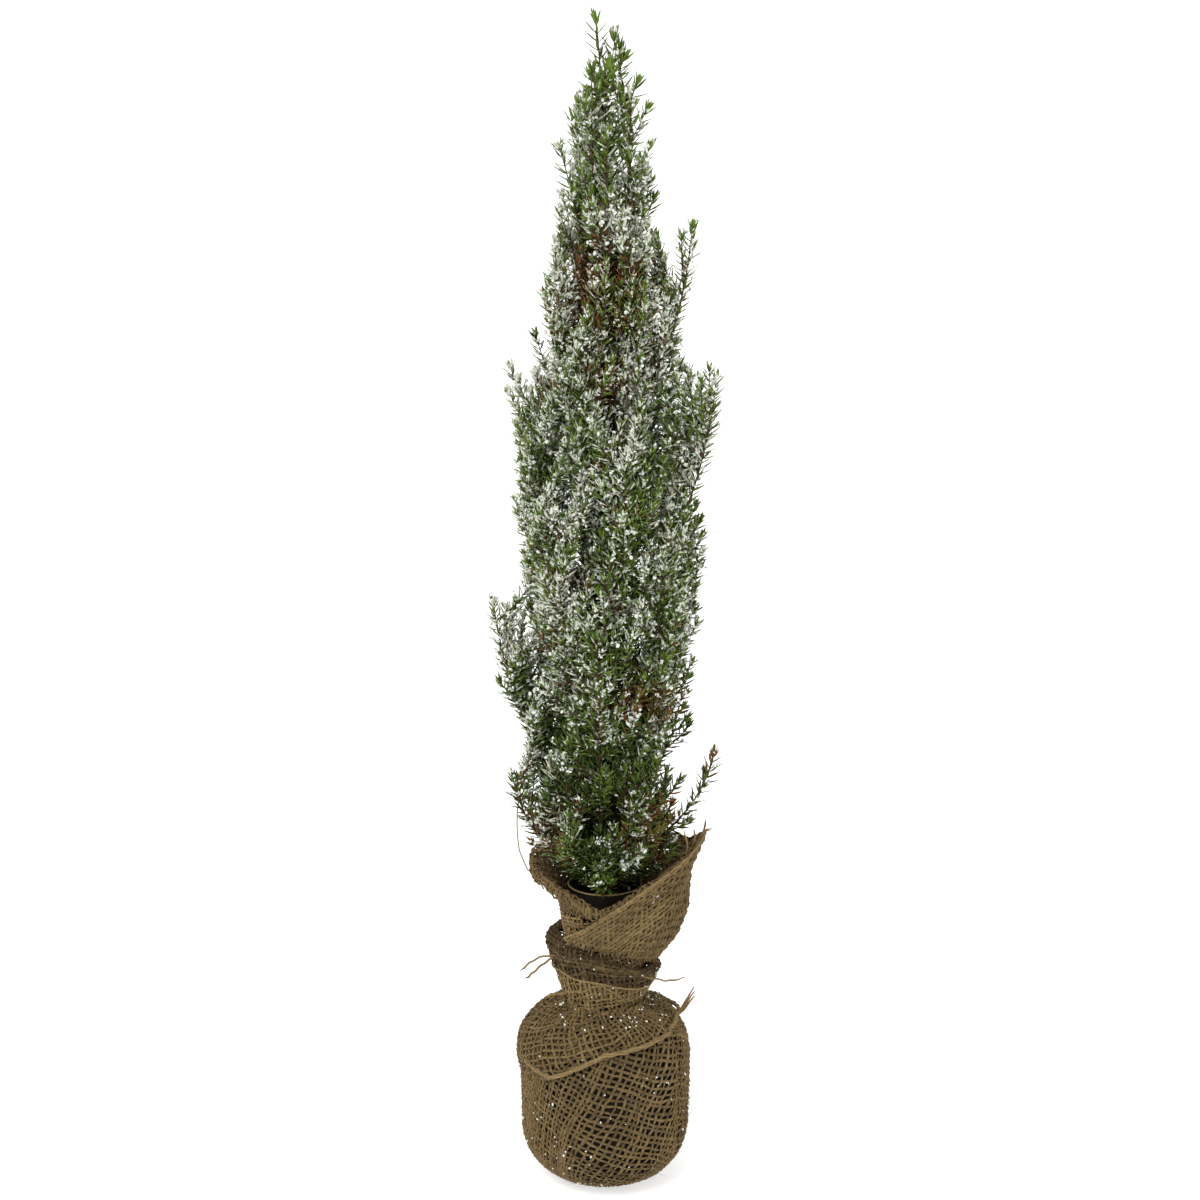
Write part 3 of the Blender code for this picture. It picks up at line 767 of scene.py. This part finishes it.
def make_trunk_sprigs():
    """Short sprigs taped straight on the trunk, which fill the column's dark core down to the pot."""
    look = random.Random(f"{SEED} trunk sprigs")
    mesher = Mesher()
    for k in range(TRUNK_SPRIGS + LOW_SPRIGS):
        share = k / (TRUNK_SPRIGS - 1)
        height = TRUNK_SPRIGS_LOW + (TRUNK_SPRIGS_HIGH - TRUNK_SPRIGS_LOW) * share
        lean = look.uniform(0.5, 0.9) + 0.35 * max(0.0, (0.2 - height) / 0.045)
        length = look.uniform(14, 22) * MM * (1 - 0.35 * share)
        if k >= TRUNK_SPRIGS:
            height = look.uniform(0.16, 0.18)
            lean = look.uniform(0.8, 1.35)
            length = look.uniform(18, 35) * MM
        out = on_ring(1.0, k * GOLDEN_ANGLE, 0.0)
        up = np.array([0, 0, 1.0])
        run = out * math.sin(lean) + up * math.cos(lean)
        reach = np.linspace(0, 1, 6)[:, None]
        root = out * (trunk_radius(height) - 0.3 * MM) + up * height
        rail = root + run * length * reach + up * 0.2 * length * reach**2
        add_twig(mesher, rail, 0.002, 0.92, look)
    made = mesher.make("trunk_sprigs", FOLIAGE_FINISHES)
    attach(made, "root")


def make_leader():
    """The upright spray on top, which leans a little to the left."""
    look = random.Random(f"{SEED} look leader")
    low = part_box("leader_spray")[0].z
    rise = LEADER_TIP - low
    rail = np.array([[LEADER_LEAN * t * t, 0, low + rise * t] for t in np.linspace(0, 1, 18)])
    mesher = Mesher()
    add_stem(mesher, rail, STEM_RADIUS)
    add_needles(mesher, rail, 0.004, NEEDLE_LENGTH, look)
    for azimuth, start, length, lean in LEADER_TWIGS:
        root = np.array([LEADER_LEAN * start * start, 0, low + rise * start])
        out = on_ring(lean, math.radians(azimuth), 1.0)
        add_twig(mesher, root + out * length * np.linspace(0, 1, 7)[:, None], 0.002, 0.95, look)
    made = mesher.make("leader_needled", FOLIAGE_FINISHES)
    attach(made, "root")
    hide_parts("leader_spray")


# Cloth


def evenly(value):
    """The same value at every point of a cloth."""
    return lambda s, t: np.full(len(s), value)


def weave(name, place, width, height, pitch, slant=0.0, distinct=None, inside=evenly(True), thread=1.0,
          plies=1, shade=evenly(0.0)):
    """A plain weave of jute threads on the surface place(s, t), with s and t in metres of cloth.
    slant turns the threads. distinct is the number of separate threads each way where the cloth
    closes on itself round the ball, inside(s, t) says where a thread runs, and shade(s, t) how dark it is."""
    mesher = Mesher()
    draw = random.Random(f"{SEED} {name}")
    ways = (np.array([math.cos(slant), math.sin(slant)]), np.array([-math.sin(slant), math.cos(slant)]))
    corners = np.array([[0, 0], [width, 0], [0, height], [width, height]])
    for ply, family in [(ply, family) for ply in range(plies) for family in (0, 1)]:
        run, step = ways[family], ways[1 - family]
        run_pitch, line_pitch = pitch[family], pitch[1 - family]
        lines = (corners @ step) / line_pitch
        numbers = range(math.floor(lines.min()), math.ceil(lines.max()) + 1)
        low, high = (corners @ run).min(), (corners @ run).max()
        for line in range(distinct[family]) if distinct else numbers:
            if distinct:
                base = step[1] * line * line_pitch
                low, high = sorted((-base / run[1], (height - base) / run[1]))
            halves = np.arange(math.ceil(2 * low / run_pitch), math.floor(2 * high / run_pitch) + 1)
            phase = [draw.uniform(0, math.tau) for _ in range(4)]
            tint = draw.uniform(0.1, 0.9)
            stout = thread * draw.uniform(0.8, 1.2)
            aside = draw.uniform(-0.12, 0.12)
            if len(halves) < 3:
                continue
            along = halves * 0.5 * run_pitch
            wander = aside + np.sin(along * 210 + phase[0]) * 0.13 + np.sin(along * 620 + phase[1]) * 0.07
            flat = along[:, None] * run + ((line + 0.5 * ply + wander) * line_pitch)[:, None] * step
            over = np.cos(math.pi * halves * 0.5) * (1 if line % 2 == 0 else -1) * (1 if family == 0 else -1)
            keep = np.ones(len(halves), bool)
            if not distinct:
                keep = ((flat >= 0) & (flat <= (width, height))).all(1) & inside(flat[:, 0], flat[:, 1])
            slub = 1 + 0.14 * np.sin(along * 330 + phase[2]) + 0.08 * np.sin(along * 900 + phase[3])
            for a, b in kept_runs(keep):
                if b - a < 3:
                    continue
                s, t = flat[a:b, 0], flat[a:b, 1]
                middle = place(s, t)
                normal = surface_normal(place, s, t)
                centres = middle + normal * (over[a:b] * CRIMP * thread - ply * PLY_GAP)[:, None]
                wide = THREAD_WIDTH * stout * slub[a:b]
                thick = THREAD_THICKNESS * stout * slub[a:b]
                sweep(mesher, centres, wide, thick, 4, tint=tint - shade(s, t), normals=normal)
    return mesher.make(name, [BURLAP_FINISH])


def kept_runs(keep):
    """Start and end of each unbroken stretch of True."""
    edges = np.flatnonzero(np.diff(np.concatenate([[0], keep.astype(int), [0]])))
    return list(zip(edges[::2], edges[1::2]))


def surface_normal(place, s, t):
    tiny = 0.0002
    across = place(s + tiny, t) - place(s - tiny, t)
    upward = place(s, t + tiny) - place(s, t - tiny)
    return unit(np.cross(across, upward))


def along_profile(profile, t):
    """Radius and height at a distance t along a profile of (r, z) points."""
    reach = distance_along(profile)
    return [np.interp(t, reach, values) for values in zip(*profile)]


def arc(centre, radius, start, end, steps):
    angles = np.radians(np.linspace(start, end, steps + 1))
    return [(centre[0] + radius * math.cos(a), centre[1] + radius * math.sin(a)) for a in angles]


def bump_at(turn, where, width):
    """A ridge of height 1 at an azimuth in degrees, width degrees wide."""
    off = (np.degrees(turn) - where + 180) % 360 - 180
    return np.exp(-((off / width) ** 2))


def ball_fold(turn, height):
    """How far the root wrap stands out or in at an azimuth and height, where its cloth folds."""
    fold = 1.6 * MM * (bump_at(turn, 322, 5) + 0.8 * bump_at(turn, 241, 5) + bump_at(turn, 120, 7))
    fold = fold - 1.2 * MM * bump_at(turn, 331, 4) - 0.9 * MM * bump_at(turn, 248, 4)
    return (fold + 0.5 * MM * np.sin(2.5 * turn + 80 * height)) * np.clip(height / 0.02, 0, 1)


def declare(cloth, node):
    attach(cloth, "root")
    if node:
        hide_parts(node)


def make_root_wrap():
    """The cloth round the pot. It is cut on the bias and gathered in over the shoulder."""
    inset = 0.85 * MM
    low = BALL_RADIUS - FOOT
    profile = ([(FOOT - 4 * MM, inset)] + arc((FOOT, low), low - inset, -90, 0, 12)
               + arc((SHOULDER_RADIUS, SHOULDER_HEIGHT), CORNER - 0.55 * MM, 0, 88, 12)
               + [(SHOULDER_RADIUS + 0.2 * MM, BALL_TOP + 0.4 * MM)])
    long = float(gaps(profile).sum())
    round_it = math.tau * BALL_RADIUS
    across, upward = 92, 32
    pitch = (2.85 * MM, 3.3 * MM)
    slant = math.atan2(upward * pitch[1], across * pitch[0])
    scale = round_it / math.hypot(across * pitch[0], upward * pitch[1])
    pitch = (pitch[0] * scale, pitch[1] * scale)
    azimuths = np.radians(np.arange(361.0))
    laid = np.cumsum(1.0 / np.interp(azimuths, *zip(*[(math.radians(a), v) for a, v in STRETCH])))
    laid = (laid - laid[0]) / (laid[-1] - laid[0]) * math.tau

    def place(s, t):
        turn = -s / BALL_RADIUS
        turn = np.interp(turn % math.tau, laid, azimuths)
        turn = turn + 0.03 * np.sin(5 * turn + 40 * t) + 0.02 * np.sin(9 * turn - 70 * t)
        t = t + 1.2 * MM * np.sin(3 * turn + 1.0) + 0.7 * MM * np.sin(7 * turn + 60 * t)
        r, z = along_profile(profile, np.clip(t, 0, long))
        gather = np.clip((BALL_RADIUS - r) / (BALL_RADIUS - SHOULDER_RADIUS), 0, 1) * (z > 0.06)
        fold = 0.9 * MM * gather * np.sin(13 * turn + 0.7 * np.sin(3 * turn)) + ball_fold(turn, z)
        r = r + fold * np.clip(r / BALL_RADIUS - 0.3, 0, 1)
        return on_ring(r, turn, np.maximum(z, inset))

    def shade(s, t):
        turn = np.interp((-s / BALL_RADIUS) % math.tau, laid, azimuths)
        return 0.34 * bump_at(turn, 272, 38)

    cloth = weave("burlap_root_cloth", place, round_it, long, pitch, slant, distinct=(upward, across),
                  thread=0.95, shade=shade)
    declare(cloth, "burlap_root_wrap")
    half = FOOT + 2 * MM

    def beneath(s, t):
        return np.stack([s - half, t - half, np.full_like(s, 1.0 * MM)], -1)

    under = weave("burlap_underside", beneath, 2 * half, 2 * half, (3.4 * MM, 3.2 * MM), 0.3,
                  inside=lambda s, t: np.hypot(s - half, t - half) < FOOT + 0.5 * MM)
    declare(under, None)
    return lambda u, v: place(u * round_it, v * long)


def make_shoulder_cloth():
    """The gathered cloth over the shoulder, down to the tie that holds it."""
    profile = ([(NECK_RADIUS + 1.2 * MM, 101.0 * MM), (NECK_RADIUS + 1.6 * MM, 98.0 * MM)]
               + arc((SHOULDER_RADIUS, SHOULDER_HEIGHT), CORNER + 1.1 * MM, 82, 0, 14)
               + [(BALL_RADIUS + 1.1 * MM, 64.0 * MM)])
    long = float(gaps(profile).sum())
    wide = math.tau * 0.04

    def place(s, t):
        turn = math.pi / 2 + s / 0.04
        turn = turn + 0.05 * np.sin(4 * turn + 50 * t)
        r, z = along_profile(profile, np.clip(t, 0, long))
        up = np.clip((z - SHOULDER_HEIGHT) / (BALL_TOP - SHOULDER_HEIGHT), 0, 1)
        full = 2.1 - 0.9 * bump_at(turn, 190, 50)
        gather = up * (1 - 0.6 * up) * full * MM
        r = r + ball_fold(turn, z) + gather * np.sin(11 * turn + 1.5 * np.sin(2 * turn))
        z = z + up * 0.8 * MM * np.sin(11 * turn + 2.2)
        return on_ring(r, turn, z)

    def inside(s, t):
        point = place(s, t)
        turn = np.arctan2(point[:, 1], point[:, 0])
        return point[:, 2] > tie_height(turn) - (0.5 + 6.0 * tucked(turn)) * MM

    cloth = weave("burlap_shoulder_cloth", place, wide, long, (3.3 * MM, 3.1 * MM), -0.42, inside=inside,
                  thread=0.95)
    declare(cloth, None)
    return lambda u, v: place(u * wide, v * 0.024)


def tucked(turn):
    """1 where the cloth hangs over the tie, at the left, and 0 elsewhere."""
    return np.clip(1.6 * bump_at(turn, 172, 46), 0, 1)


def tie_height(turn):
    return read_off(TIE_HEIGHTS, np.degrees(turn) % 360)


def make_neck_wrap():
    """The cloth drawn tight round the neck, with its lapped seam at the back."""
    long = FOAM_TOP - NECK_BOTTOM
    wide = math.tau * NECK_RADIUS + 5 * MM

    def place(s, t):
        turn = math.pi / 2 + s / NECK_RADIUS
        flare = np.clip(t / long, 0, 1)
        r = NECK_RADIUS - 0.5 * MM + NECK_FLARE * np.clip((flare - 0.6) / 0.4, 0, 1) ** 1.3
        r = r + 1.2 * MM * np.clip((s - wide + 7 * MM) / (5 * MM), 0, 1)
        r = r + 0.45 * MM * np.sin(9 * turn + 40 * t) * (0.3 + 0.7 * (1 - flare))
        return on_ring(r, turn, NECK_BOTTOM + t)

    # Painted light: the neck's threads are drawn lighter than the same burlap elsewhere.
    cloth = weave("burlap_neck_cloth", place, wide, long, (2.6 * MM, 2.5 * MM), 0.16, thread=0.95,
                  shade=evenly(-0.55))
    declare(cloth, "burlap_neck_wrap")
    return lambda u, v: place(u * wide, v * long)


def collar_rim(turn):
    """Radius and height of the collar's rim, and the radius of its rolled lip, at an azimuth."""
    rim = 36.6 + 0.3 * np.cos(turn) + 5.5 * np.sin(turn) + 4.8 * np.cos(2 * turn)
    top = 173.2 + 1.5 * np.cos(turn) + 9.0 * np.sin(turn) + 6.7 * np.cos(2 * turn)
    top = top + 6.0 * (bump_at(turn, 266, 62) - bump_at(turn, 266, 22)) - 3.0 - 6.5 * bump_at(turn, 190, 50)
    rim = rim - 6.5 * bump_at(turn, 195, 50)
    roll = 1.7 - 0.2 * bump_at(turn, 200, 50)
    return rim * MM, top * MM, roll * MM


def make_collar():
    """The cup of doubled cloth at the top of the neck, with its lip rolled outward and down."""
    foot = NECK_RADIUS + NECK_FLARE - 0.6 * MM
    middle = 0.031
    wide = math.tau * middle
    full_roll = 1.5 * math.pi

    def rise_at(turn):
        rim, top, _ = collar_rim(turn)
        return np.hypot(top - COLLAR_BOTTOM, rim - foot) * 1.04

    def place(s, t):
        turn = math.pi / 2 + s / middle
        rim, top, roll = collar_rim(turn)
        rise = rise_at(turn)
        share = np.clip(t / rise, 0, 1)
        over = np.clip((t - rise) / roll, 0, full_roll)
        r = foot + (rim - foot) * share**1.9 + roll * 0.9 * (1 - np.cos(over))
        z = COLLAR_BOTTOM + (top - COLLAR_BOTTOM) * share + roll * np.sin(over)
        r = r + 0.7 * MM * share * np.sin(14 * turn + 2.0 * np.sin(3 * turn))
        return on_ring(r, turn, z)

    def inside(s, t):
        turn = math.pi / 2 + s / middle
        return t < rise_at(turn) + full_roll * collar_rim(turn)[2]

    cloth = weave("burlap_collar_cloth", place, wide, 60.0 * MM, (2.7 * MM, 2.6 * MM), -0.3, inside=inside,
                  plies=2)
    turns = np.linspace(0, math.tau, 90)
    deep = float((rise_at(turns) + full_roll * collar_rim(turns)[2]).mean())
    declare(cloth, "burlap_collar")
    return lambda u, v: place(u * wide, v * 0.026)


def make_band():
    """The loose turn of cloth that hangs out over the neck, its top edge turned in."""
    inside_radius = NECK_RADIUS + 0.8 * MM
    wide = math.tau * 0.027
    outs, ups = np.array(BAND_PROFILE).T * [[MM], [1]]
    long = 31.0 * MM

    def place(s, t):
        turn = math.pi / 2 + s / 0.027
        at = np.clip(t / long, 0, 1) * (len(outs) - 1)
        out = np.interp(at, range(len(outs)), outs)
        up = np.interp(at, range(len(outs)), ups)
        top = BAND_TOP - BAND_SLANT * np.cos(turn)
        full = 1.0 - 0.13 * np.cos(turn) * np.clip(up, 0, 1)
        r = inside_radius + out * full + 0.8 * MM * np.sin(8 * turn + 60 * t) * np.clip(out / 6e-3, 0, 1)
        z = BAND_BOTTOM + (top - BAND_BOTTOM) * up + 0.8 * MM * np.sin(3 * turn + 0.6)
        return on_ring(r, turn, z)

    # Painted shadow: the band's overhanging upper part is drawn darker, and the part under its hem is painted
    # lighter.
    def shade(s, t):
        return 0.88 - 1.4 * (t < BAND_HEM * long)

    cloth = weave("burlap_band_cloth", place, wide, long, (2.8 * MM, 2.7 * MM), 0.22, plies=2, shade=shade)
    declare(cloth, "burlap_neck_band")
    return lambda u, v: place(u * wide, v * 0.7 * long)


def flap_point(degrees, down):
    """A point of the flap at an azimuth, a distance down from its top edge."""
    foot = NECK_RADIUS + 3.2 * MM
    bottom, top = read_off(FLAP_FOOT, degrees), read_off(FLAP_TOP, degrees)
    reach = read_off(FLAP_REACH, degrees) - 0.6 * MM
    slope = np.hypot(top - bottom, reach - foot) * 1.06
    share = np.clip(1.0 - down / slope, 0, 1)
    r = foot + (reach - foot) * read_off(FLAP_FULLNESS, share)
    turn = np.radians(degrees)
    z = bottom + (top - bottom) * share
    r = r + 0.7 * MM * np.sin(5.5 * turn + 90 * down) * np.clip(share * 3, 0, 1)
    return on_ring(r, turn, z), slope


def make_flap():
    """The loose end of the cloth, which rises across the front to a frayed point at the right."""
    first, last = FLAP_FOOT[0][0], FLAP_FOOT[-1][0]
    wide = math.radians(last - first) * 0.036
    long = 80.0 * MM

    def place(s, t):
        return flap_point(first + np.degrees(s / 0.036), t)[0]

    def inside(s, t):
        return t < flap_point(first + np.degrees(s / 0.036), t)[1]

    cloth = weave("burlap_flap_cloth", place, wide, long, (2.9 * MM, 2.8 * MM), 0.0, inside=inside, plies=2)
    cut = 2 * wide * float(flap_point(np.linspace(first, last, 90), 0.0)[1].mean())
    declare(cloth, "burlap_flap")
    return place, wide


def make_selvedge(band):
    """The flap's bound edge, of three threads, and the thread round the band's hem."""
    mesher = Mesher()
    hem = band(np.linspace(0, 1, 120), np.full(120, BAND_HEM / 0.7))
    hem[:, 2] += 0.4 * MM * np.sin(np.linspace(0, 40, 120))
    sweep(mesher, hem + outward(hem) * 1.0 * MM, 0.55 * MM, 0.5 * MM, tint=0.8)
    for lane in range(3):
        degrees = np.linspace(FLAP_FOOT[0][0], 356 - 3 * lane, 90)
        points = flap_point(degrees, 0.35 * MM + lane * 0.9 * MM)[0]
        points[:, 2] += 0.25 * MM * np.sin(degrees * 0.9 + lane * 2.1)
        sweep(mesher, points + outward(points) * 0.8 * MM, 0.62 * MM, 0.55 * MM, tint=0.75 - 0.15 * lane,
              normals=lift(points))
    made = mesher.make("flap_selvedge", [HEM_FINISH])
    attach(made, "root")


def make_tie():
    """The jute line round the shoulder: three strands laid together, frayed where it ends."""
    degrees = np.linspace(8, 352, 420)
    turn = np.radians(degrees)
    height = tie_height(turn)
    above = np.maximum(0, height - SHOULDER_HEIGHT)
    level = np.sqrt(CORNER**2 - above**2)
    lift_by = TIE_LIFT + (0.6 - 2.1 * tucked(turn)) * MM
    r = SHOULDER_RADIUS + level + lift_by * level / CORNER + ball_fold(turn, height)
    path = on_ring(r, turn, height + lift_by * above / CORNER)
    mesher = Mesher()
    for strand in range(3):
        phase = strand * math.tau / 3 + np.arange(len(path)) * 0.17
        normal = lift(path)
        side = unit(np.cross(unit(np.gradient(path, axis=0)), normal))
        around = normal * np.cos(phase)[:, None] + side * np.sin(phase)[:, None]
        points = path + around * (0.62 * MM)
        fray = np.array([[3.5, strand - 1.0, 3.0 + strand], [7.0, 2.4 * strand - 2.0, 8.5 + strand],
                         [9.5, 3.0 * strand - 3.0, 12.0 + 1.5 * strand]]) * MM
        points = np.concatenate([points, smooth_rail(np.concatenate([points[-1:], path[-1] + fray]), 14)[1:]])
        size = np.full(len(points), 0.62 * MM)
        size[-8:] *= np.linspace(1, 0.45, 8)
        sweep(mesher, points, size, tint=0.45 + 0.2 * strand)
    made = mesher.make("jute_tie_strands", [HEM_FINISH])
    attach(made, "root")
    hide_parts("jute_tie")


# Loose thread ends, in millimetres: radius first, then the points that each passes.
LOOSE_THREADS = (
    (0.55, (-24, -12, 126), (-29, -14, 127.5), (-36, -15, 126), (-41, -15.5, 122.5), (-44.4, -16, 119.5)),
    (0.6, (-27, -10, 125), (-33, -12, 121.5), (-38.5, -13.5, 117), (-41.7, -14.5, 114.5)),
    (0.45, (15, -19, 118), (22, -21, 118), (29.4, -21.5, 116.8), (34.2, -21.5, 116.5), (41.7, -22, 118.5)),
    (0.7, (-21, -18, 108), (-27, -20, 108.5), (-30.5, -21.5, 107.5)),
    (0.3, (-5, -30, 118), (4, -31.5, 114), (11, -30.5, 108)),
    (0.35, (-40, -8, 172), (-44.5, -9, 184), (-45.5, -10, 202), (-43, -10, 222)),
    (0.6, (47, -6, 184), (50, -7, 190.5), (53.5, -8, 195)),
    (0.6, (48, -2, 185), (51.5, -2, 192), (52.5, -3, 198)),
    (0.55, (44, -10, 183), (46.5, -12, 190), (46, -12.5, 196)),
    (0.5, (45, 2, 184), (50, 3, 189), (56, 3, 191.5)),
    (0.5, (42, -14, 181), (42.5, -16.5, 189), (40.5, -17.5, 197)),
)


def make_loose_threads():
    mesher = Mesher()
    draw = random.Random(SEED)
    for radius, *points in LOOSE_THREADS:
        rail = smooth_rail(np.array(points) * MM, 26)
        rail[:, 2] += 0.3 * MM * np.sin(np.arange(26) * 0.9 + radius * 9)
        size = np.full(26, radius * MM)
        size[-5:] *= np.linspace(1, 0.4, 5)
        sweep(mesher, rail, size, tint=draw.uniform(0.3, 0.8))
    for degrees in range(236, 400, 7):
        out = on_ring(1.0, math.radians(degrees + draw.uniform(-3, 3)), 0.0)
        root = out * (NECK_RADIUS + 4.2 * MM) + np.array([0, 0, read_off(FLAP_FOOT, degrees) + 1.0 * MM])
        run = out * draw.uniform(2.0, 4.5) + np.array([0, 0, draw.uniform(-2.5, 0.8)])
        rail = smooth_rail([root, root + run * 0.5 * MM, root + (run + [0, 0, -0.8]) * MM], 6)
        sweep(mesher, rail, np.linspace(0.5, 0.25, 6) * MM, sides=5, tint=0.1)
    rim = on_ring(19.2 * MM, np.linspace(0, math.tau, 90), np.full(90, 162.4 * MM))
    sweep(mesher, rim, 0.5 * MM, tint=0.8)
    made = mesher.make("loose_threads", [HEM_FINISH])
    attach(made, "root")


def make_dusting(surfaces):
    """Crumbs of flock that lie on the cloth, and hairs of jute that stand off it."""
    crumbs, hairs = Mesher(), Mesher()
    draw = random.Random(SEED + 1)
    for place, flakes, fibres, low, high in surfaces:
        for k in range(flakes + fibres):
            u, v = draw.random(), draw.uniform(low, high)
            spot = np.array([[u, v], [u + 0.002, v], [u, v + 0.004]])
            a, b, c = place(spot[:, 0], spot[:, 1])
            normal = unit(np.cross(b - a, c - a))
            if normal @ outward(a) < 0:
                normal = -normal
            if k < flakes:
                add_flake(crumbs, a + normal * 0.9 * MM, draw.triangular(0.6, 2.4, 0.9) * MM, draw, 0)
            else:
                along = unit(any_way(draw))
                along = unit(along - normal * (along @ normal) + normal * draw.uniform(0.1, 0.7))
                size = draw.uniform(2.5, 7.0) * MM
                bend = unit(any_way(draw)) * size * 0.3
                share = np.linspace(0, 1, 6)[:, None]
                rail = a + normal * 0.4 * MM + along * size * share + bend * share**2
                sweep(hairs, rail, np.linspace(0.09, 0.04, 6) * MM, sides=3, tint=draw.uniform(0.6, 1.0))
    made = crumbs.make("cloth_flock", [FLOCK_FINISH])
    fuzz = hairs.make("cloth_fuzz", [HEM_FINISH])
    for piece in (made, fuzz):
        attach(piece, "root")


def finish_frame_nodes():
    """Better finishes for the CAD pieces that show."""
    finishes = {
        "base_pot": ("black_pot", *BLACK, 0.8, 300.0, 0.0, 0.3, 0.06),
        "pot_cover": ("black_cover", *BLACK, 0.8, 300.0, 0.0, 0.3, 0.06),
        "cement_ballast": ("cast_cement", (0.22, 0.21, 0.2), (0.42, 0.41, 0.39), 0.9, 180.0, 0.0, 0.8),
        "foam_plug": ("brown_foam", (0.02, 0.013, 0.008), (0.075, 0.05, 0.03), 0.95, 700.0, 0.0, 1.0),
        "trunk_rod": ("drawn_steel", (0.35, 0.35, 0.36), (0.55, 0.55, 0.56), 0.35, 400.0, 1.0),
        "trunk_tape_wrap": ("crepe_tape", TAPE_DARK, (0.085, 0.048, 0.025), 0.75, 500.0, 0.0, 1.0),
    }
    for name, looks in finishes.items():
        finish = plain_finish(*looks)
        for slot in frame["nodes"][name].material_slots:
            slot.material = finish


# Stage


def make_stage():
    """A pale floor that curves up all round into a low wall, under an open white sky and a soft sun."""
    bpy.ops.object.select_all(action="DESELECT")
    bpy.ops.mesh.primitive_circle_add(vertices=96, radius=FLOOR_RADIUS, fill_type="NGON")
    floor = bpy.context.object
    floor.name = "floor"
    bpy.ops.object.mode_set(mode="EDIT")
    bpy.ops.mesh.select_mode(type="EDGE")
    for k in range(8):
        low, high = math.radians(k * 10), math.radians((k + 1) * 10)
        rise = FLOOR_CURVE * (math.cos(low) - math.cos(high))
        bpy.ops.mesh.select_all(action="SELECT")
        bpy.ops.mesh.region_to_loop()
        bpy.ops.mesh.extrude_region_move(TRANSFORM_OT_translate={"value": (0, 0, rise)})
        grow = (FLOOR_RADIUS + FLOOR_CURVE * math.sin(high)) / (FLOOR_RADIUS + FLOOR_CURVE * math.sin(low))
        bpy.ops.transform.resize(value=(grow, grow, 1.0), center_override=(0, 0, 0))
    bpy.ops.mesh.select_all(action="SELECT")
    bpy.ops.mesh.normals_make_consistent(inside=True)
    bpy.ops.mesh.faces_shade_smooth()
    bpy.ops.object.mode_set(mode="OBJECT")
    finish = Finish("pale_floor", Roughness=0.9, Emission_Strength=0.62)
    floor.data.materials.append(finish.set(Base_Color=(0.62, 0.62, 0.62), Emission_Color=(1.0, 1.0, 1.0)))
    world = bpy.data.worlds.new("soft_white")
    bpy.context.scene.world = world
    world.use_nodes = True
    sky = world.node_tree.nodes["Background"]
    sky.inputs["Color"].default_value = (1.0, 1.0, 1.0, 1.0)
    sky.inputs["Strength"].default_value = SKY_STRENGTH
    light = bpy.data.lights.new("sun", "SUN")
    light.angle = math.radians(25)
    light.energy = SUN_STRENGTH
    lamp = bpy.data.objects.new("sun", light)
    lamp.rotation_euler = Vector((0.35, 0.75, -1.0)).to_track_quat("-Z", "Y").to_euler()
    bpy.context.collection.objects.link(lamp)
    bpy.context.scene.view_settings.view_transform = "Standard"


def make_camera():
    """A long lens a little above the tree, looking slightly down."""
    data = bpy.data.cameras.new("camera")
    data.sensor_width = 36.0
    data.lens = LENS
    camera = bpy.data.objects.new("camera", data)
    camera.location = CAMERA_PLACE
    camera.rotation_euler = (math.radians(90 - CAMERA_DIP), 0, 0)
    bpy.context.collection.objects.link(camera)
    bpy.context.scene.camera = camera


make_camera()
make_stage()
NEEDLE = needle_shape()
FLAKE = flake_shape()
SPRAYS = [Spray(joint) for joint in frame["joints"]]
share_out_twigs([spray for spray in SPRAYS if spray.name != RUST_SPRIG])
for spray in SPRAYS:
    make_spray(spray)
make_trunk_sprigs()
make_leader()
finish_frame_nodes()
ball = make_root_wrap()
shoulder_cloth = make_shoulder_cloth()
neck = make_neck_wrap()
collar = make_collar()
band = make_band()
flap, flap_width = make_flap()
make_selvedge(band)
make_tie()
make_loose_threads()
make_dusting((
    (ball, 150, 420, 0.15, 0.8),
    (shoulder_cloth, 90, 150, 0.0, 0.7),
    (neck, 20, 70, 0.05, 0.95),
    (collar, 10, 90, 0.1, 0.95),
    (band, 30, 90, 0.1, 0.95),
    (lambda u, v: flap(u * flap_width, v * 30 * MM), 40, 160, 0.05, 0.95),
))
